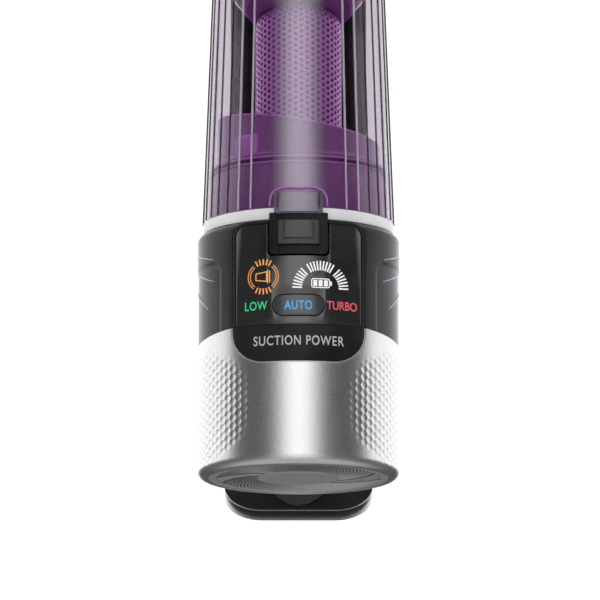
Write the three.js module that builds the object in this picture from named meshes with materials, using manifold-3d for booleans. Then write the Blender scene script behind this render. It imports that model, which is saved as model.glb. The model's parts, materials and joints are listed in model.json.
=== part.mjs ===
// Cordless stick vacuum: a hand unit with a see-through cyclone bin, a wand with a folding knee, and a
// powered floor head. Millimetres, +Z up.
//
// It hangs as on a wall dock. The wand points down, the display faces -Y, and the battery's flat base
// rests on the dock at +Y. The origin is the middle of that base.
//
// The hand unit is drawn round the axis of its barrel. Places along that axis are stations: the distance
// from the outer end face towards the bin, so z = -station.

import * as THREE from "three";
import { mergeVertices } from "three/addons/utils/BufferGeometryUtils.js";
import Module from "manifold-3d";

const wasm = await Module();
wasm.setup();

// ---------------------------------------------------------------- driving dimensions

const clearance = 0.3; // left between pieces that touch
const runningGap = 0.4; // round a pin, a shaft or a wheel

const barrel = {
  radius: 50,
  wall: 2.4,
  rounding: 4,
  silverLength: 64,
  blackLength: 57.2,
  seamTilt: THREE.MathUtils.degToRad(7.1),
  chamfer: 2.5,
};
const cover = {
  thickness: 2.8,
  rim: 1.2,
  slots: 14,
  slotWidth: 1.7,
  slotInner: 20.6,
  slotOuter: 40.5,
  sweep: THREE.MathUtils.degToRad(38),
};
const display = {
  halfWidth: 32.2,
  labelLength: 17.9,
  lensLength: 50.4,
  bottomCorner: 15,
  topCorner: 6,
  proud: 0.6,
  frame: 1.5,
  endMargin: 0.8,
};
const displayBoard = { halfWidth: 22, depth: 12, length: 40, thickness: 1.6 };
const modeKey = { length: 25.2, height: 10.3, station: 78, proud: 0.8, depth: 5.6 };
const latch = { halfWidth: 14.4, length: 17.7, rail: 3.6, floor: 1, buttonLength: 12, plate: 1.2 };
const trim = { length: 5.8, drop: 2.7, innerRadius: 36 };
const bin = { length: 150, wall: 2.2, taper: 5.5, noseRounding: 7.6, standoff: 1 };
const hook = { halfWidth: 10.3, reach: 3, length: 7.4, height: 3 };
const cyclone = {
  baseLength: 24,
  skirtDrop: 3.5,
  skirtStation: 173,
  skirtTilt: THREE.MathUtils.degToRad(9.3),
  meshRadius: 21.5,
  meshWall: 1.3,
  meshStation: 165,
  headRoom: 41.6,
  brimRadius: 38,
  filterMargin: 8.8,
};
const exhaustFilter = { start: 10, length: 12, pleats: 20, pleatDepth: 7, width: 11 };
const motor = { radius: 24, start: 27, length: 45, shaftRadius: 2.6 };
const impeller = { radius: 22, blades: 8, height: 8, plate: 2 };
const duct = { bore: 16, wall: 2.7, cradleHalfWidth: 34, rear: 92, portLength: 22, portHalfWidth: 12 };
const grip = {
  length: 90,
  halfWidth: 17,
  halfDepth: 19.5,
  wall: 3,
  topStation: 46,
  footStation: 28,
};
const trigger = { width: 14.6, drop: 6, length: 24, proud: 3.5, thickness: 11 };
const foot = { plate: 8, rear: 8, length: 120, halfWidth: 38, cornerWidth: 19, cornerLength: 11.5 };
const battery = { height: 31.7, wall: 2.5, lid: 2.5, cellRadius: 9.2, cellLength: 65, cells: 5 };
const tube = { radius: 19, wall: 1.6, upperLength: 300, lowerLength: 330 };
const collar = { thickness: 4.5, length: 46, spigot: 24 };
const button = { halfWidth: 6.2, length: 20, inset: 4.5, proud: 4.8, depth: 1.1 };
const knee = { toPin: 30, earRadius: 14, ear: 4.2, pinRadius: 4, sleeve: 44, hoseDrop: 3.5 };
const neck = { length: 36, barrelRadius: 16, halfWidth: 22, bore: 11, pinRadius: 4.6 };
const head = {
  halfWidth: 125,
  front: 98,
  rear: 26,
  height: 58,
  split: 24,
  groundGap: 3,
  wall: 2.5,
  pivotHeight: 34,
};
const roller = { radius: 15, bristle: 20.5, axisY: -64, axisZ: 26, drive: 10, stub: 4, cap: 19 };
const wheel = { radius: 13, width: 10, axle: 3, y: 12 };
const belt = { rollerPulley: 9, motorPulley: 6, thickness: 1.2, width: 5 };
const brushMotor = { radius: 11.5, length: 58, y: -20, z: 24 };

// ---------------------------------------------------------------- places worked out from them

const innerRadius = barrel.radius - barrel.wall;
const housingEnd = barrel.silverLength + barrel.blackLength;
const trimStart = housingEnd + clearance;
const trimEnd = trimStart + trim.length;
const binStart = trimEnd + clearance;
const binEnd = binStart + bin.length;
const binRadius = barrel.radius - trim.drop;
const wandOffset = binRadius + bin.standoff + duct.wall + duct.bore;
const displayEnd = housingEnd - display.endMargin;
const lensStart = displayEnd - display.frame - display.lensLength;
const labelStart = lensStart - display.labelLength;
const meshLength = binEnd - cyclone.headRoom - cyclone.meshStation;
const hoseRadius = tube.radius - knee.hoseDrop;
const headHeight = Math.max(head.height, roller.axisZ + roller.bristle + head.wall + 1.5);
const spigotRadius = tube.radius + 1;
const collarRadius = tube.radius + collar.thickness;
const ductRadius = collarRadius + 1;
const noseEnd = binEnd + 10;
const gripStart = barrel.radius - 6;
const footTop = barrel.radius + grip.length;
const batteryTop = footTop + foot.plate + clearance;
const batteryBase = batteryTop + battery.height;
const footMiddle = foot.rear + foot.length / 2;

// ---------------------------------------------------------------- finishes

const finish = (color, roughness, metalness = 0, extra = {}) =>
  new THREE.MeshStandardMaterial({ color, roughness, metalness, ...extra });
const silver = finish(0xc9cacc, 0.32, 0.9);
const satinBlack = finish(0x1d1d1f, 0.42);
const glossBlack = finish(0x08080a, 0.08);
const darkLens = finish(0x1b1b1d, 0.12);
const clearTint = finish(0xb9a9c4, 0.05, 0, { transparent: true, opacity: 0.35 });
const violet = finish(0x7a3f92, 0.3);
const trimWhite = finish(0xe4e4e6, 0.35, 0.3);
const rubber = finish(0x161616, 0.8);
const steel = finish(0xa8abb0, 0.3, 1);
const foam = finish(0xd9d9d4, 0.95);
const circuit = finish(0x1d5a34, 0.5);
const cellWrap = finish(0x2f6fb0, 0.4);
const bristles = finish(0x5a2d70, 0.9);

// ---------------------------------------------------------------- shape helpers

/** A closed geometry as a manifold-3d solid. */
function solid(geometry) {
  const bare = geometry.index ? geometry.toNonIndexed() : geometry.clone();
  bare.deleteAttribute("normal");
  bare.deleteAttribute("uv");
  const merged = mergeVertices(bare, 1e-4);
  const mesh = new wasm.Mesh({
    numProp: 3,
    vertProperties: merged.attributes.position.array,
    triVerts: new Uint32Array(merged.index.array),
  });
  return new wasm.Manifold(mesh);
}

/** The geometry of a manifold-3d solid. */
function geometryOf(made) {
  const mesh = made.getMesh();
  return new THREE.BufferGeometry()
    .setAttribute("position", new THREE.BufferAttribute(mesh.vertProperties, 3))
    .setIndex(new THREE.BufferAttribute(mesh.triVerts, 1));
}

const cut = (body, ...tools) =>
  geometryOf(tools.reduce((left, tool) => left.subtract(solid(tool)), solid(body)));
const join = (body, ...others) =>
  geometryOf(others.reduce((sum, other) => sum.add(solid(other)), solid(body)));
const common = (body, ...others) =>
  geometryOf(others.reduce((kept, other) => kept.intersect(solid(other)), solid(body)));

/** A solid of revolution about Z from [radius, station] points. A profile off the axis closes on itself. */
function turned(points, segments = 40) {
  const onAxis = points[0][0] === 0 && points.at(-1)[0] === 0;
  const loop = onAxis ? [...points] : [...points, points[0]];
  const area = loop.reduce((sum, [r, s], i) => {
    const [nextR, nextS] = loop[(i + 1) % loop.length];
    return sum + r * -nextS - nextR * -s;
  }, 0);
  if (area < 0) loop.reverse();
  const profile = loop.map(([r, s]) => new THREE.Vector2(r, -s));
  return new THREE.LatheGeometry(profile, segments).rotateX(Math.PI / 2);
}

/** A plain ring or disc between two stations. */
const ring = (inner, outer, from, to, segments) =>
  turned(
    [
      [inner, from],
      [outer, from],
      [outer, to],
      [inner, to],
    ],
    segments,
  );

/** Points of a quarter round from the side of a barrel to its end face. */
const quarterRound = (radius, rounding, steps = 3) =>
  Array.from({ length: steps + 1 }, (_, i) => {
    const turn = (i / steps) * (Math.PI / 2);
    return [radius - rounding + rounding * Math.cos(turn), rounding - rounding * Math.sin(turn)];
  });

const box = (x0, x1, y0, y1, z0, z1) =>
  new THREE.BoxGeometry(x1 - x0, y1 - y0, z1 - z0).translate((x0 + x1) / 2, (y0 + y1) / 2, (z0 + z1) / 2);

/** A box between two stations. */
const block = (x0, x1, y0, y1, from, to) => box(x0, x1, y0, y1, -to, -from);

/** A cylinder along X. */
const barAlongX = (radius, x0, x1, y, z, segments = 16) =>
  new THREE.CylinderGeometry(radius, radius, x1 - x0, segments)
    .rotateZ(Math.PI / 2)
    .translate((x0 + x1) / 2, y, z);

/** A rectangle whose two lower and two upper corners have their own radii; y is -station. */
function plate(halfWidth, from, to, nearCorner, farCorner) {
  const [top, bottom] = [-from, -to];
  const shape = new THREE.Shape();
  shape.moveTo(-halfWidth, bottom + farCorner);
  shape.absarc(-halfWidth + farCorner, bottom + farCorner, farCorner, Math.PI, 1.5 * Math.PI);
  shape.absarc(halfWidth - farCorner, bottom + farCorner, farCorner, 1.5 * Math.PI, 2 * Math.PI);
  shape.absarc(halfWidth - nearCorner, top - nearCorner, nearCorner, 0, 0.5 * Math.PI);
  shape.absarc(-halfWidth + nearCorner, top - nearCorner, nearCorner, 0.5 * Math.PI, Math.PI);
  shape.closePath();
  return shape;
}

const extruded = (shape, depth, curveSegments = 5) =>
  new THREE.ExtrudeGeometry(shape, { depth, bevelEnabled: false, curveSegments });

/** A shape of the X-Z plane pushed through from y0 to y1. */
const frontPrism = (shape, y0, y1, curveSegments) =>
  extruded(shape, y1 - y0, curveSegments).rotateX(Math.PI / 2).translate(0, y1, 0);

/** A shape of the Y-Z plane pushed through from x0 to x1. */
function sidePrism(shape, x0, x1, curveSegments) {
  const axes = new THREE.Matrix4().makeBasis(
    new THREE.Vector3(0, 1, 0),
    new THREE.Vector3(0, 0, 1),
    new THREE.Vector3(1, 0, 0),
  );
  return extruded(shape, x1 - x0, curveSegments).applyMatrix4(axes).translate(x0, 0, 0);
}

const outline = (points) => new THREE.Shape(points.map(([x, y]) => new THREE.Vector2(x, y)));

function add(group, name, geometry, material) {
  const mesh = new THREE.Mesh(geometry, material);
  mesh.name = name;
  group.add(mesh);
  return mesh;
}

function placed(x, y, z) {
  const group = new THREE.Group();
  group.position.set(x, y, z);
  return group;
}

// ---------------------------------------------------------------- barrel: both shells and the exhaust end

/** Everything on one side of the slanted seam between the two shells, moved along the axis by an offset. */
const seamHalfSpace = (side, offset) =>
  new THREE.BoxGeometry(400, 400, 300)
    .translate(0, 0, side * 150 - offset)
    .rotateX(barrel.seamTilt)
    .translate(0, 0, -barrel.silverLength);

const displayOutline = (grow) =>
  plate(
    display.halfWidth + grow,
    labelStart - grow,
    displayEnd + grow,
    display.bottomCorner,
    display.topCorner,
  );

/** The window that the display unit and the bin latch sit in, cut through both shells. */
const displayWindow = () =>
  cut(
    join(throughFront(displayOutline(clearance)), throughFront(notchOutline(clearance))),
    ring(0, innerRadius - clearance, 0, binStart),
  );

function motorHousing() {
  const mouth = barrel.radius - barrel.rounding - cover.rim + clearance;
  const far = barrel.silverLength + barrel.radius * Math.tan(barrel.seamTilt) + 2;
  const shoulder = cover.thickness + 2 * clearance;
  const shell = turned([
    [barrel.radius, far],
    ...quarterRound(barrel.radius, barrel.rounding),
    [mouth, 0],
    [mouth, shoulder],
    [mouth - 2.6, shoulder],
    [mouth - 2.6, shoulder + 2],
    [innerRadius, shoulder + 5.5],
    [innerRadius, far],
  ]);
  return cut(shell, seamHalfSpace(-1, 0), displayWindow());
}

function controlHousing() {
  const near = barrel.silverLength - barrel.radius * Math.tan(barrel.seamTilt) - 2;
  const flange = housingEnd - barrel.wall;
  const shell = turned([
    [barrel.radius, near],
    [barrel.radius, housingEnd - 4],
    [barrel.radius - barrel.chamfer, housingEnd],
    [trim.innerRadius + 2, housingEnd],
    [trim.innerRadius + 2, flange],
    [innerRadius - 2.4, flange],
    [innerRadius, flange - 3.6],
    [innerRadius, near],
  ]);
  return cut(shell, seamHalfSpace(1, clearance), displayWindow());
}

/** A flat disc with a ring of curved slots that sweep round as they go out. */
function exhaustCover() {
  const radius = barrel.radius - barrel.rounding - cover.rim;
  const disc = new THREE.Shape().absarc(0, 0, radius, 0, 2 * Math.PI);
  const steps = 4;
  const { sweep } = cover;
  for (let slot = 0; slot < cover.slots; slot += 1) {
    const start = (slot / cover.slots) * 2 * Math.PI;
    const edge = (side) =>
      Array.from({ length: steps + 1 }, (_, i) => {
        const r = cover.slotInner + ((cover.slotOuter - cover.slotInner) * i) / steps;
        const angle = start + (sweep * i) / steps + (side * cover.slotWidth) / 2 / (r * Math.cos(sweep));
        return new THREE.Vector2(r * Math.cos(angle), r * Math.sin(angle));
      });
    disc.holes.push(new THREE.Path([...edge(-1), ...edge(1).reverse()]));
  }
  return extruded(disc, cover.thickness, 10).translate(0, 0, -cover.thickness - clearance);
}

/** A pleated ring that the exhaust air passes through. */
function pleatedRing() {
  const { start, length, pleats, pleatDepth, width } = exhaustFilter;
  const outer = innerRadius - 1.8;
  const star = new THREE.Shape(
    Array.from({ length: 2 * pleats }, (_, i) => {
      const angle = (i / pleats) * Math.PI;
      const r = i % 2 ? outer - pleatDepth : outer;
      return new THREE.Vector2(r * Math.cos(angle), r * Math.sin(angle));
    }),
  );
  star.holes.push(new THREE.Path().absarc(0, 0, outer - width, 0, 2 * Math.PI, true));
  return extruded(star, length, 6).translate(0, 0, -start - length);
}

// ---------------------------------------------------------------- display unit and bin latch

const faceRadius = barrel.radius + display.proud;
const lensOutline = (grow) =>
  plate(
    display.halfWidth - display.frame + grow,
    lensStart - grow,
    displayEnd - display.frame + grow,
    2,
    display.topCorner - display.frame,
  );
const notchStart = housingEnd - latch.length;
const notchOutline = (grow) => plate(latch.halfWidth + grow, notchStart - grow, housingEnd + 4, 2, 0.5);
const keyOutline = (grow) => {
  const radius = modeKey.height / 2 + grow;
  const reach = modeKey.length / 2 - modeKey.height / 2;
  const shape = new THREE.Shape();
  shape.absarc(reach, -modeKey.station, radius, -Math.PI / 2, Math.PI / 2);
  shape.absarc(-reach, -modeKey.station, radius, Math.PI / 2, 1.5 * Math.PI);
  shape.closePath();
  return shape;
};
const throughFront = (shape) => frontPrism(shape, -barrel.radius - 8, -20);

function displayBezel() {
  const skin = ring(innerRadius, faceRadius, labelStart - 1, displayEnd + 1);
  return cut(
    common(skin, throughFront(displayOutline(0))),
    throughFront(lensOutline(0)),
    throughFront(notchOutline(clearance)),
  );
}

function displayLens() {
  const skin = ring(innerRadius, faceRadius - 0.2, lensStart - 1, displayEnd + 1);
  return cut(
    common(skin, throughFront(lensOutline(-clearance))),
    throughFront(notchOutline(clearance)),
    throughFront(keyOutline(clearance)),
  );
}

/** The curved carrier under the bezel, inside both shells. */
function displayTray() {
  const reach = display.halfWidth + 4;
  const start = labelStart - 3;
  const end = notchStart - 4;
  const skin = ring(innerRadius - clearance - 2.4, innerRadius - clearance, start - 1, end + 1);
  return cut(common(skin, throughFront(plate(reach, start, end, 3, 3))), throughFront(keyOutline(clearance)));
}

/** The board behind the display. */
function displayCircuit() {
  const { halfWidth, depth, length, thickness } = displayBoard;
  const face = -barrel.radius + depth;
  return block(-halfWidth, halfWidth, face, face + thickness, labelStart + 7.4, labelStart + 7.4 + length);
}

function modeButton() {
  const top = barrel.radius + modeKey.proud;
  const skin = ring(top - modeKey.depth, top, lensStart, displayEnd);
  return common(skin, throughFront(keyOutline(0)));
}

/** A short trough with a rail at each side, that the latch button slides in. */
function latchGuide() {
  const skin = ring(innerRadius, barrel.radius + 0.5, notchStart - 1, housingEnd);
  const trough = plate(latch.halfWidth - latch.rail, notchStart + 1.2, housingEnd + 4, 1, 0.5);
  const channel = cut(throughFront(trough), ring(0, innerRadius + latch.floor, 0, binStart));
  return cut(common(skin, throughFront(notchOutline(0))), channel);
}

/** The sliding key: a thumb pad on a plate. It draws back towards the end face. */
function latchButton() {
  const halfWidth = latch.halfWidth - latch.rail - clearance;
  const end = housingEnd - 0.6;
  const start = end - latch.buttonLength;
  const base = innerRadius + latch.floor + clearance;
  const skin = ring(base, base + latch.plate, start, end);
  const slider = common(skin, throughFront(plate(halfWidth, start, end, 1, 1)));
  const pad = common(
    ring(base + latch.plate / 2, barrel.radius + 0.9, start, end),
    throughFront(plate(halfWidth - 3, start + 3, end, 1, 2)),
  );
  return join(slider, pad);
}

// ---------------------------------------------------------------- motor

const motorEnd = motor.start + motor.length;

const motorCan = () =>
  turned(
    [
      [motor.shaftRadius + runningGap, motor.start],
      [motor.radius - 9, motor.start],
      [motor.radius - 5, motor.start + 3],
      [motor.radius, motor.start + 5],
      [motor.radius, motorEnd - 3],
      [motor.radius - 4, motorEnd],
      [motor.shaftRadius + runningGap, motorEnd],
    ],
    24,
  );

/** A rubber ring between the motor and the barrel. Holes let the air by where it must pass. */
function motorMount(from, to, holes) {
  const middle = (innerRadius + motor.radius) / 2;
  const hole = ring(0, (innerRadius - motor.radius) * 0.3, from - 1, to + 1, 12).translate(middle, 0, 0);
  const tools = Array.from({ length: holes }, (_, i) => hole.clone().rotateZ((i / holes) * 2 * Math.PI));
  return cut(ring(motor.radius + clearance, innerRadius - 2 * clearance, from, to, 24), ...tools);
}

const impellerStart = motorEnd + 4;
const impellerEnd = impellerStart + impeller.plate + impeller.height;

function impellerWheel() {
  const start = impellerStart;
  const bore = motor.shaftRadius + clearance + 0.1;
  const bladeStart = start + impeller.plate;
  const blade = block(-0.7, 0.7, 5, impeller.radius - 1, bladeStart - 0.5, bladeStart + impeller.height);
  const blades = Array.from({ length: impeller.blades }, (_, i) =>
    blade.clone().translate(3, 0, 0).rotateZ((i / impeller.blades) * 2 * Math.PI),
  );
  const plateDisc = ring(bore, impeller.radius, start, start + impeller.plate, 24);
  const hub = ring(bore, 6.4, start, impellerEnd + 1, 24);
  return join(plateDisc, hub, ...blades);
}

const motorShaft = () => ring(0, motor.shaftRadius, motor.start - 2, impellerEnd + 2, 12);

/** Leads the air from the bin's filter into the eye of the impeller. */
function intakeFunnel() {
  const shroud = impeller.radius + 1.5;
  const eye = impellerEnd + 1.6;
  const mouth = innerRadius - 0.8;
  const mouthStation = housingEnd - 11;
  return turned(
    [
      [shroud, impellerStart],
      [shroud + 2, impellerStart],
      [shroud + 2, eye + 1],
      [mouth, mouthStation],
      [mouth, mouthStation + 4],
      [mouth - 2, mouthStation + 4],
      [mouth - 2, mouthStation + 1],
      [15, eye + 3.5],
      [15, eye],
      [shroud, eye],
    ],
    32,
  );
}

// ---------------------------------------------------------------- bin and cyclone

/** The bin's outer radius at a station on its tapered wall. */
const binRadiusAt = (station) =>
  binRadius - (bin.taper * (station - binStart)) / (bin.length - bin.noseRounding);
const noseRadius = binRadius - bin.taper;
const portStation = binStart + 65;

const portBlock = (grow, y0, y1) =>
  block(
    -duct.portHalfWidth - grow,
    duct.portHalfWidth + grow,
    y0,
    y1,
    portStation - grow,
    portStation + duct.portLength + grow,
  );

function binShell() {
  const endRound = (inset) =>
    quarterRound(noseRadius - inset, bin.noseRounding - inset).map(([r, s]) => [r, binEnd - inset - s]);
  const shell = turned([
    [binRadius, binStart],
    ...endRound(0),
    [0, binEnd],
    [0, binEnd - bin.wall],
    ...endRound(bin.wall).reverse(),
    [binRadius - bin.wall, binStart],
  ]);
  const top = binRadius + clearance;
  const grown = turned([
    [top, trimStart + hook.reach],
    [top + hook.height, trimStart + hook.reach + 0.6],
    [top + hook.height, binStart + hook.length - 3],
    [top, binStart + hook.length],
    [binRadius - 1.4, binStart + hook.length],
    [binRadius - 1.4, binStart],
    [top, binStart],
  ]);
  const tab = common(grown, throughFront(plate(hook.halfWidth, trimStart, binEnd, 0.5, 0.5)));
  return cut(join(shell, tab), portBlock(0, 20, binRadius + 5));
}

/** The violet base of the cyclone, with a skirt whose edge runs on a slant. */
function cycloneBase() {
  const rim = binRadius - bin.wall - 0.5;
  const bandEnd = binStart + cyclone.baseLength;
  const skirt = rim - cyclone.skirtDrop - 1;
  const meshHole = cyclone.meshRadius + clearance;
  const filterHole = cyclone.meshRadius + cyclone.filterMargin;
  const beyond = new THREE.BoxGeometry(200, 200, 100)
    .translate(0, 0, -50)
    .rotateY(cyclone.skirtTilt)
    .translate(0, 0, -cyclone.skirtStation);
  const body = turned([
    [rim, binStart + clearance],
    [rim - 1, bandEnd],
    [rim - cyclone.skirtDrop, bandEnd],
    [rim - cyclone.skirtDrop, bandEnd + 3.5],
    [rim - 2.2, bandEnd + 3.5],
    [rim - 2.6, bandEnd + 6],
    [skirt, bandEnd + 7.5],
    [skirt, cyclone.skirtStation + 15],
    [meshHole, cyclone.skirtStation + 15],
    [meshHole, cyclone.meshStation],
    [meshHole - 3, cyclone.meshStation],
    [meshHole - 3, cyclone.meshStation - 3],
    [filterHole, cyclone.meshStation - 5],
    [filterHole, binStart + clearance],
  ]);
  const hollow = turned([
    [filterHole + 2, binStart],
    [rim - 3, binStart],
    [rim - cyclone.skirtDrop - 2, bandEnd - 4],
    [skirt - 2, bandEnd + 4],
    [filterHole + 2, bandEnd + 4],
  ]);
  return cut(body, beyond, hollow);
}

/** The screen: a tube whose windows stand for its fine holes. */
function meshScreen() {
  const wall = ring(
    cyclone.meshRadius - cyclone.meshWall,
    cyclone.meshRadius,
    cyclone.meshStation + clearance,
    cyclone.meshStation + meshLength,
    24,
  );
  const rows = 3;
  const pitch = (meshLength - 22) / rows;
  const windows = [];
  for (let row = 0; row < rows; row += 1) {
    const from = cyclone.meshStation + 18 + row * pitch;
    for (let column = 0; column < 4; column += 1) {
      const slot = block(-4, 4, -40, 40, from, from + pitch - 4);
      windows.push(slot.rotateZ(((column + 0.5) / 4) * Math.PI));
    }
  }
  return cut(wall, ...windows);
}

/** The brim over the screen and the cone that hangs inside it. */
function cycloneHead() {
  const top = cyclone.meshStation + meshLength;
  const plug = cyclone.meshRadius - cyclone.meshWall - clearance;
  const brim = cyclone.brimRadius;
  const coneStart = cyclone.meshStation + 9;
  return turned(
    [
      [9, coneStart],
      [10.5, coneStart],
      [plug - 2.4, top - 8],
      [plug, top - 6],
      [plug, top + clearance],
      [cyclone.meshRadius + 1.1, top + clearance],
      [brim - 7, top + 7],
      [brim, top + 15],
      [brim, top + 17],
      [brim - 8, top + 19.5],
      [4, top + 19.5],
      [4, top + 17.5],
      [plug - 4, top + 12],
      [plug - 4.4, top - 8],
    ],
    32,
  );
}

/** The cup of filter cloth in the base, closed towards the screen. */
function binFilter() {
  const outer = cyclone.meshRadius + cyclone.filterMargin - 0.7;
  const rim = binStart + 2 * clearance;
  const end = cyclone.meshStation - 8;
  return turned(
    [
      [outer - 8, rim],
      [outer, rim],
      [outer - 3, end],
      [0, end],
      [0, end - 7],
      [outer - 10, end - 7],
    ],
    32,
  );
}

// ---------------------------------------------------------------- duct under the bin, with the wand's socket

/** What the cradle of the duct keeps clear of: the barrel and the tapered bin. */
const cradleHollow = () =>
  turned([
    [0, 0],
    [barrel.radius + clearance, 0],
    [barrel.radius + clearance, housingEnd + clearance],
    [binRadius + bin.standoff, housingEnd + 3],
    [noseRadius + bin.standoff, binEnd - bin.noseRounding],
    [noseRadius + bin.standoff, noseEnd + 10],
    [0, noseEnd + 10],
  ]);

function ductHousing() {
  const half = duct.cradleHalfWidth;
  const section = new THREE.Shape();
  section.moveTo(-half, barrel.radius * 0.66);
  section.lineTo(half, barrel.radius * 0.66);
  section.lineTo(half - 1, barrel.radius);
  section.lineTo(ductRadius, wandOffset);
  section.absarc(0, wandOffset, ductRadius, 0, Math.PI);
  section.lineTo(-half + 1, barrel.radius);
  section.closePath();
  const body = extruded(section, noseEnd - duct.rear, 8).translate(0, 0, -noseEnd);
  const side = outline([
    [0, -duct.rear],
    [barrel.radius + 3, -duct.rear],
    [wandOffset + ductRadius, -duct.rear - 26],
    [wandOffset + ductRadius + 1, -noseEnd],
    [0, -noseEnd],
  ]);
  const bore = ring(0, duct.bore, portStation - 2, noseEnd + 5, 24).translate(0, wandOffset, 0);
  const socketRadius = spigotRadius + clearance + 0.1;
  const socketStart = noseEnd - collar.spigot - 1;
  const socket = ring(0, socketRadius, socketStart, noseEnd + 5, 32).translate(0, wandOffset, 0);
  return cut(
    common(body, sidePrism(side, -half - 1, half + 1)),
    cradleHollow(),
    bore,
    socket,
    portBlock(0, 0, wandOffset),
  );
}

/** A soft frame that seals the duct's port to the bin. */
function inletGasket() {
  const face = binRadiusAt(portStation) + bin.standoff - 0.4;
  const frame = portBlock(-clearance, face, face + 4.6);
  return cut(frame, portBlock(-clearance - 1.6, face - 5, face + 10));
}

// ---------------------------------------------------------------- handle, trigger

/** The station of the grip's middle at a depth below the barrel's axis. */
const gripRake = (grip.footStation - grip.topStation) / grip.length;
const gripMiddle = (y) => grip.topStation + gripRake * (y - barrel.radius);

/** The grip as a leaning oval column, grown or shrunk all round by a distance. */
function gripColumn(grow, y0, y1, segments = 20) {
  const swell = [
    [y0, 1],
    [barrel.radius + grip.length * 0.3, 0.97],
    [barrel.radius + grip.length * 0.62, 1.02],
    [y1, 1],
  ];
  const profile = [[0, y0], ...swell.map(([y, share]) => [grip.halfWidth * share + grow, y]), [0, y1]];
  const depthShare = (grip.halfDepth + grow) / (grip.halfWidth + grow);
  // Lay the turned column along +Y, stretch it into an oval, then lean it.
  const lean = new THREE.Matrix4().makeShear(0, 0, 0, -gripRake, 0, 0);
  return turned(profile, segments)
    .rotateX(Math.PI / 2)
    .scale(1, 1, depthShare)
    .applyMatrix4(lean)
    .translate(0, 0, -gripMiddle(0));
}

/** The outline of the foot seen along Y: blunt at the back, with long rounded corners. */
function footOutline(shrink) {
  const half = foot.halfWidth - shrink;
  const back = -foot.rear - shrink;
  const front = -foot.rear - foot.length + shrink;
  const { cornerWidth, cornerLength } = foot;
  const shape = new THREE.Shape();
  shape.moveTo(-half + cornerWidth, back);
  shape.absellipse(-half + cornerWidth, back - cornerLength, cornerWidth, cornerLength, Math.PI / 2, Math.PI);
  shape.absarc(-half + cornerLength, front + cornerLength, cornerLength, Math.PI, 1.5 * Math.PI);
  shape.absarc(half - cornerLength, front + cornerLength, cornerLength, 1.5 * Math.PI, 2 * Math.PI);
  shape.absellipse(half - cornerWidth, back - cornerLength, cornerWidth, cornerLength, 0, Math.PI / 2);
  shape.closePath();
  return shape;
}

const triggerTop = barrel.radius + trigger.drop;
const triggerPinY = triggerTop + 3.2;
const triggerPin = { radius: 1.4, y: triggerPinY, station: gripMiddle(triggerPinY) + grip.halfDepth - 6 };
const screwDepths = [barrel.radius + grip.length * 0.5, barrel.radius + grip.length * 0.84];
const screw = { headRadius: 3.2, headDepth: 2.4, shankRadius: 1.5, bossRadius: 4.4, reach: 9 };

/** Half of the handle: the grip's shell, half of the foot plate and a boss for each screw. */
function handleHalf(side) {
  const shell = cut(
    gripColumn(0, gripStart, footTop + 2),
    gripColumn(-grip.wall, gripStart - 5, footTop + foot.plate + 5),
  );
  const sole = cut(
    frontPrism(footOutline(0), footTop, footTop + foot.plate),
    frontPrism(footOutline(battery.wall), footTop + 2.4, footTop + foot.plate + 5),
    gripColumn(-grip.wall, footTop - 5, footTop + foot.plate + 5),
  );
  const inside = grip.halfWidth - 1;
  const bosses = screwDepths.map((y) => barAlongX(screw.bossRadius, -inside, inside, y, -gripMiddle(y), 12));
  const { y, station } = triggerPin;
  const lugReach = trigger.width / 2 + 4;
  const lugs = block(-lugReach, lugReach, y - 3.4, y + 3.4, station - 3.4, station + 3.4);
  const whole = join(shell, sole, ...bosses, lugs);
  const mouth = block(
    -trigger.width / 2 - clearance,
    trigger.width / 2 + clearance,
    triggerTop - 1.5,
    triggerTop + trigger.length + 3,
    gripMiddle(triggerTop) + 4,
    gripMiddle(triggerTop) + grip.halfDepth + 20,
  );
  const pinHoles = barAlongX(triggerPin.radius + runningGap, -trigger.width, trigger.width, y, -station, 12);
  const outside = -grip.halfWidth - 5;
  const headEnd = -inside + screw.headDepth;
  const holes = screwDepths.flatMap((y) => [
    barAlongX(screw.shankRadius + clearance, outside, screw.reach + 1, y, -gripMiddle(y), 10),
    barAlongX(screw.headRadius + clearance, outside, headEnd, y, -gripMiddle(y), 12),
  ]);
  const keptHalf = box(clearance / 2, 200, -50, 400, -300, 100);
  if (side < 0) keptHalf.translate(-200 - clearance / 2, 0, 0);
  const barrelRoom = ring(0, barrel.radius + clearance, -10, 300);
  return common(cut(whole, barrelRoom, mouth, pinHoles, ...holes), keptHalf);
}

function handleScrew(y) {
  const start = -grip.halfWidth + 1;
  const headEnd = start + screw.headDepth;
  return join(
    barAlongX(screw.headRadius, start, headEnd, y, -gripMiddle(y), 12),
    barAlongX(screw.shankRadius, headEnd - 0.5, screw.reach, y, -gripMiddle(y), 10),
  );
}

/** A soft strip down the back of the grip. */
function gripPad() {
  const [from, to] = [barrel.radius + 14, footTop - 8];
  const skin = cut(gripColumn(clearance + 1.4, from, to), gripColumn(clearance, from - 5, to + 5));
  const backPoints = [
    [from, -gripMiddle(from) + 6],
    [to, -gripMiddle(to) + 6],
    [to, 60],
    [from, 60],
  ];
  return common(skin, sidePrism(outline(backPoints), -60, 60));
}

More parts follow.
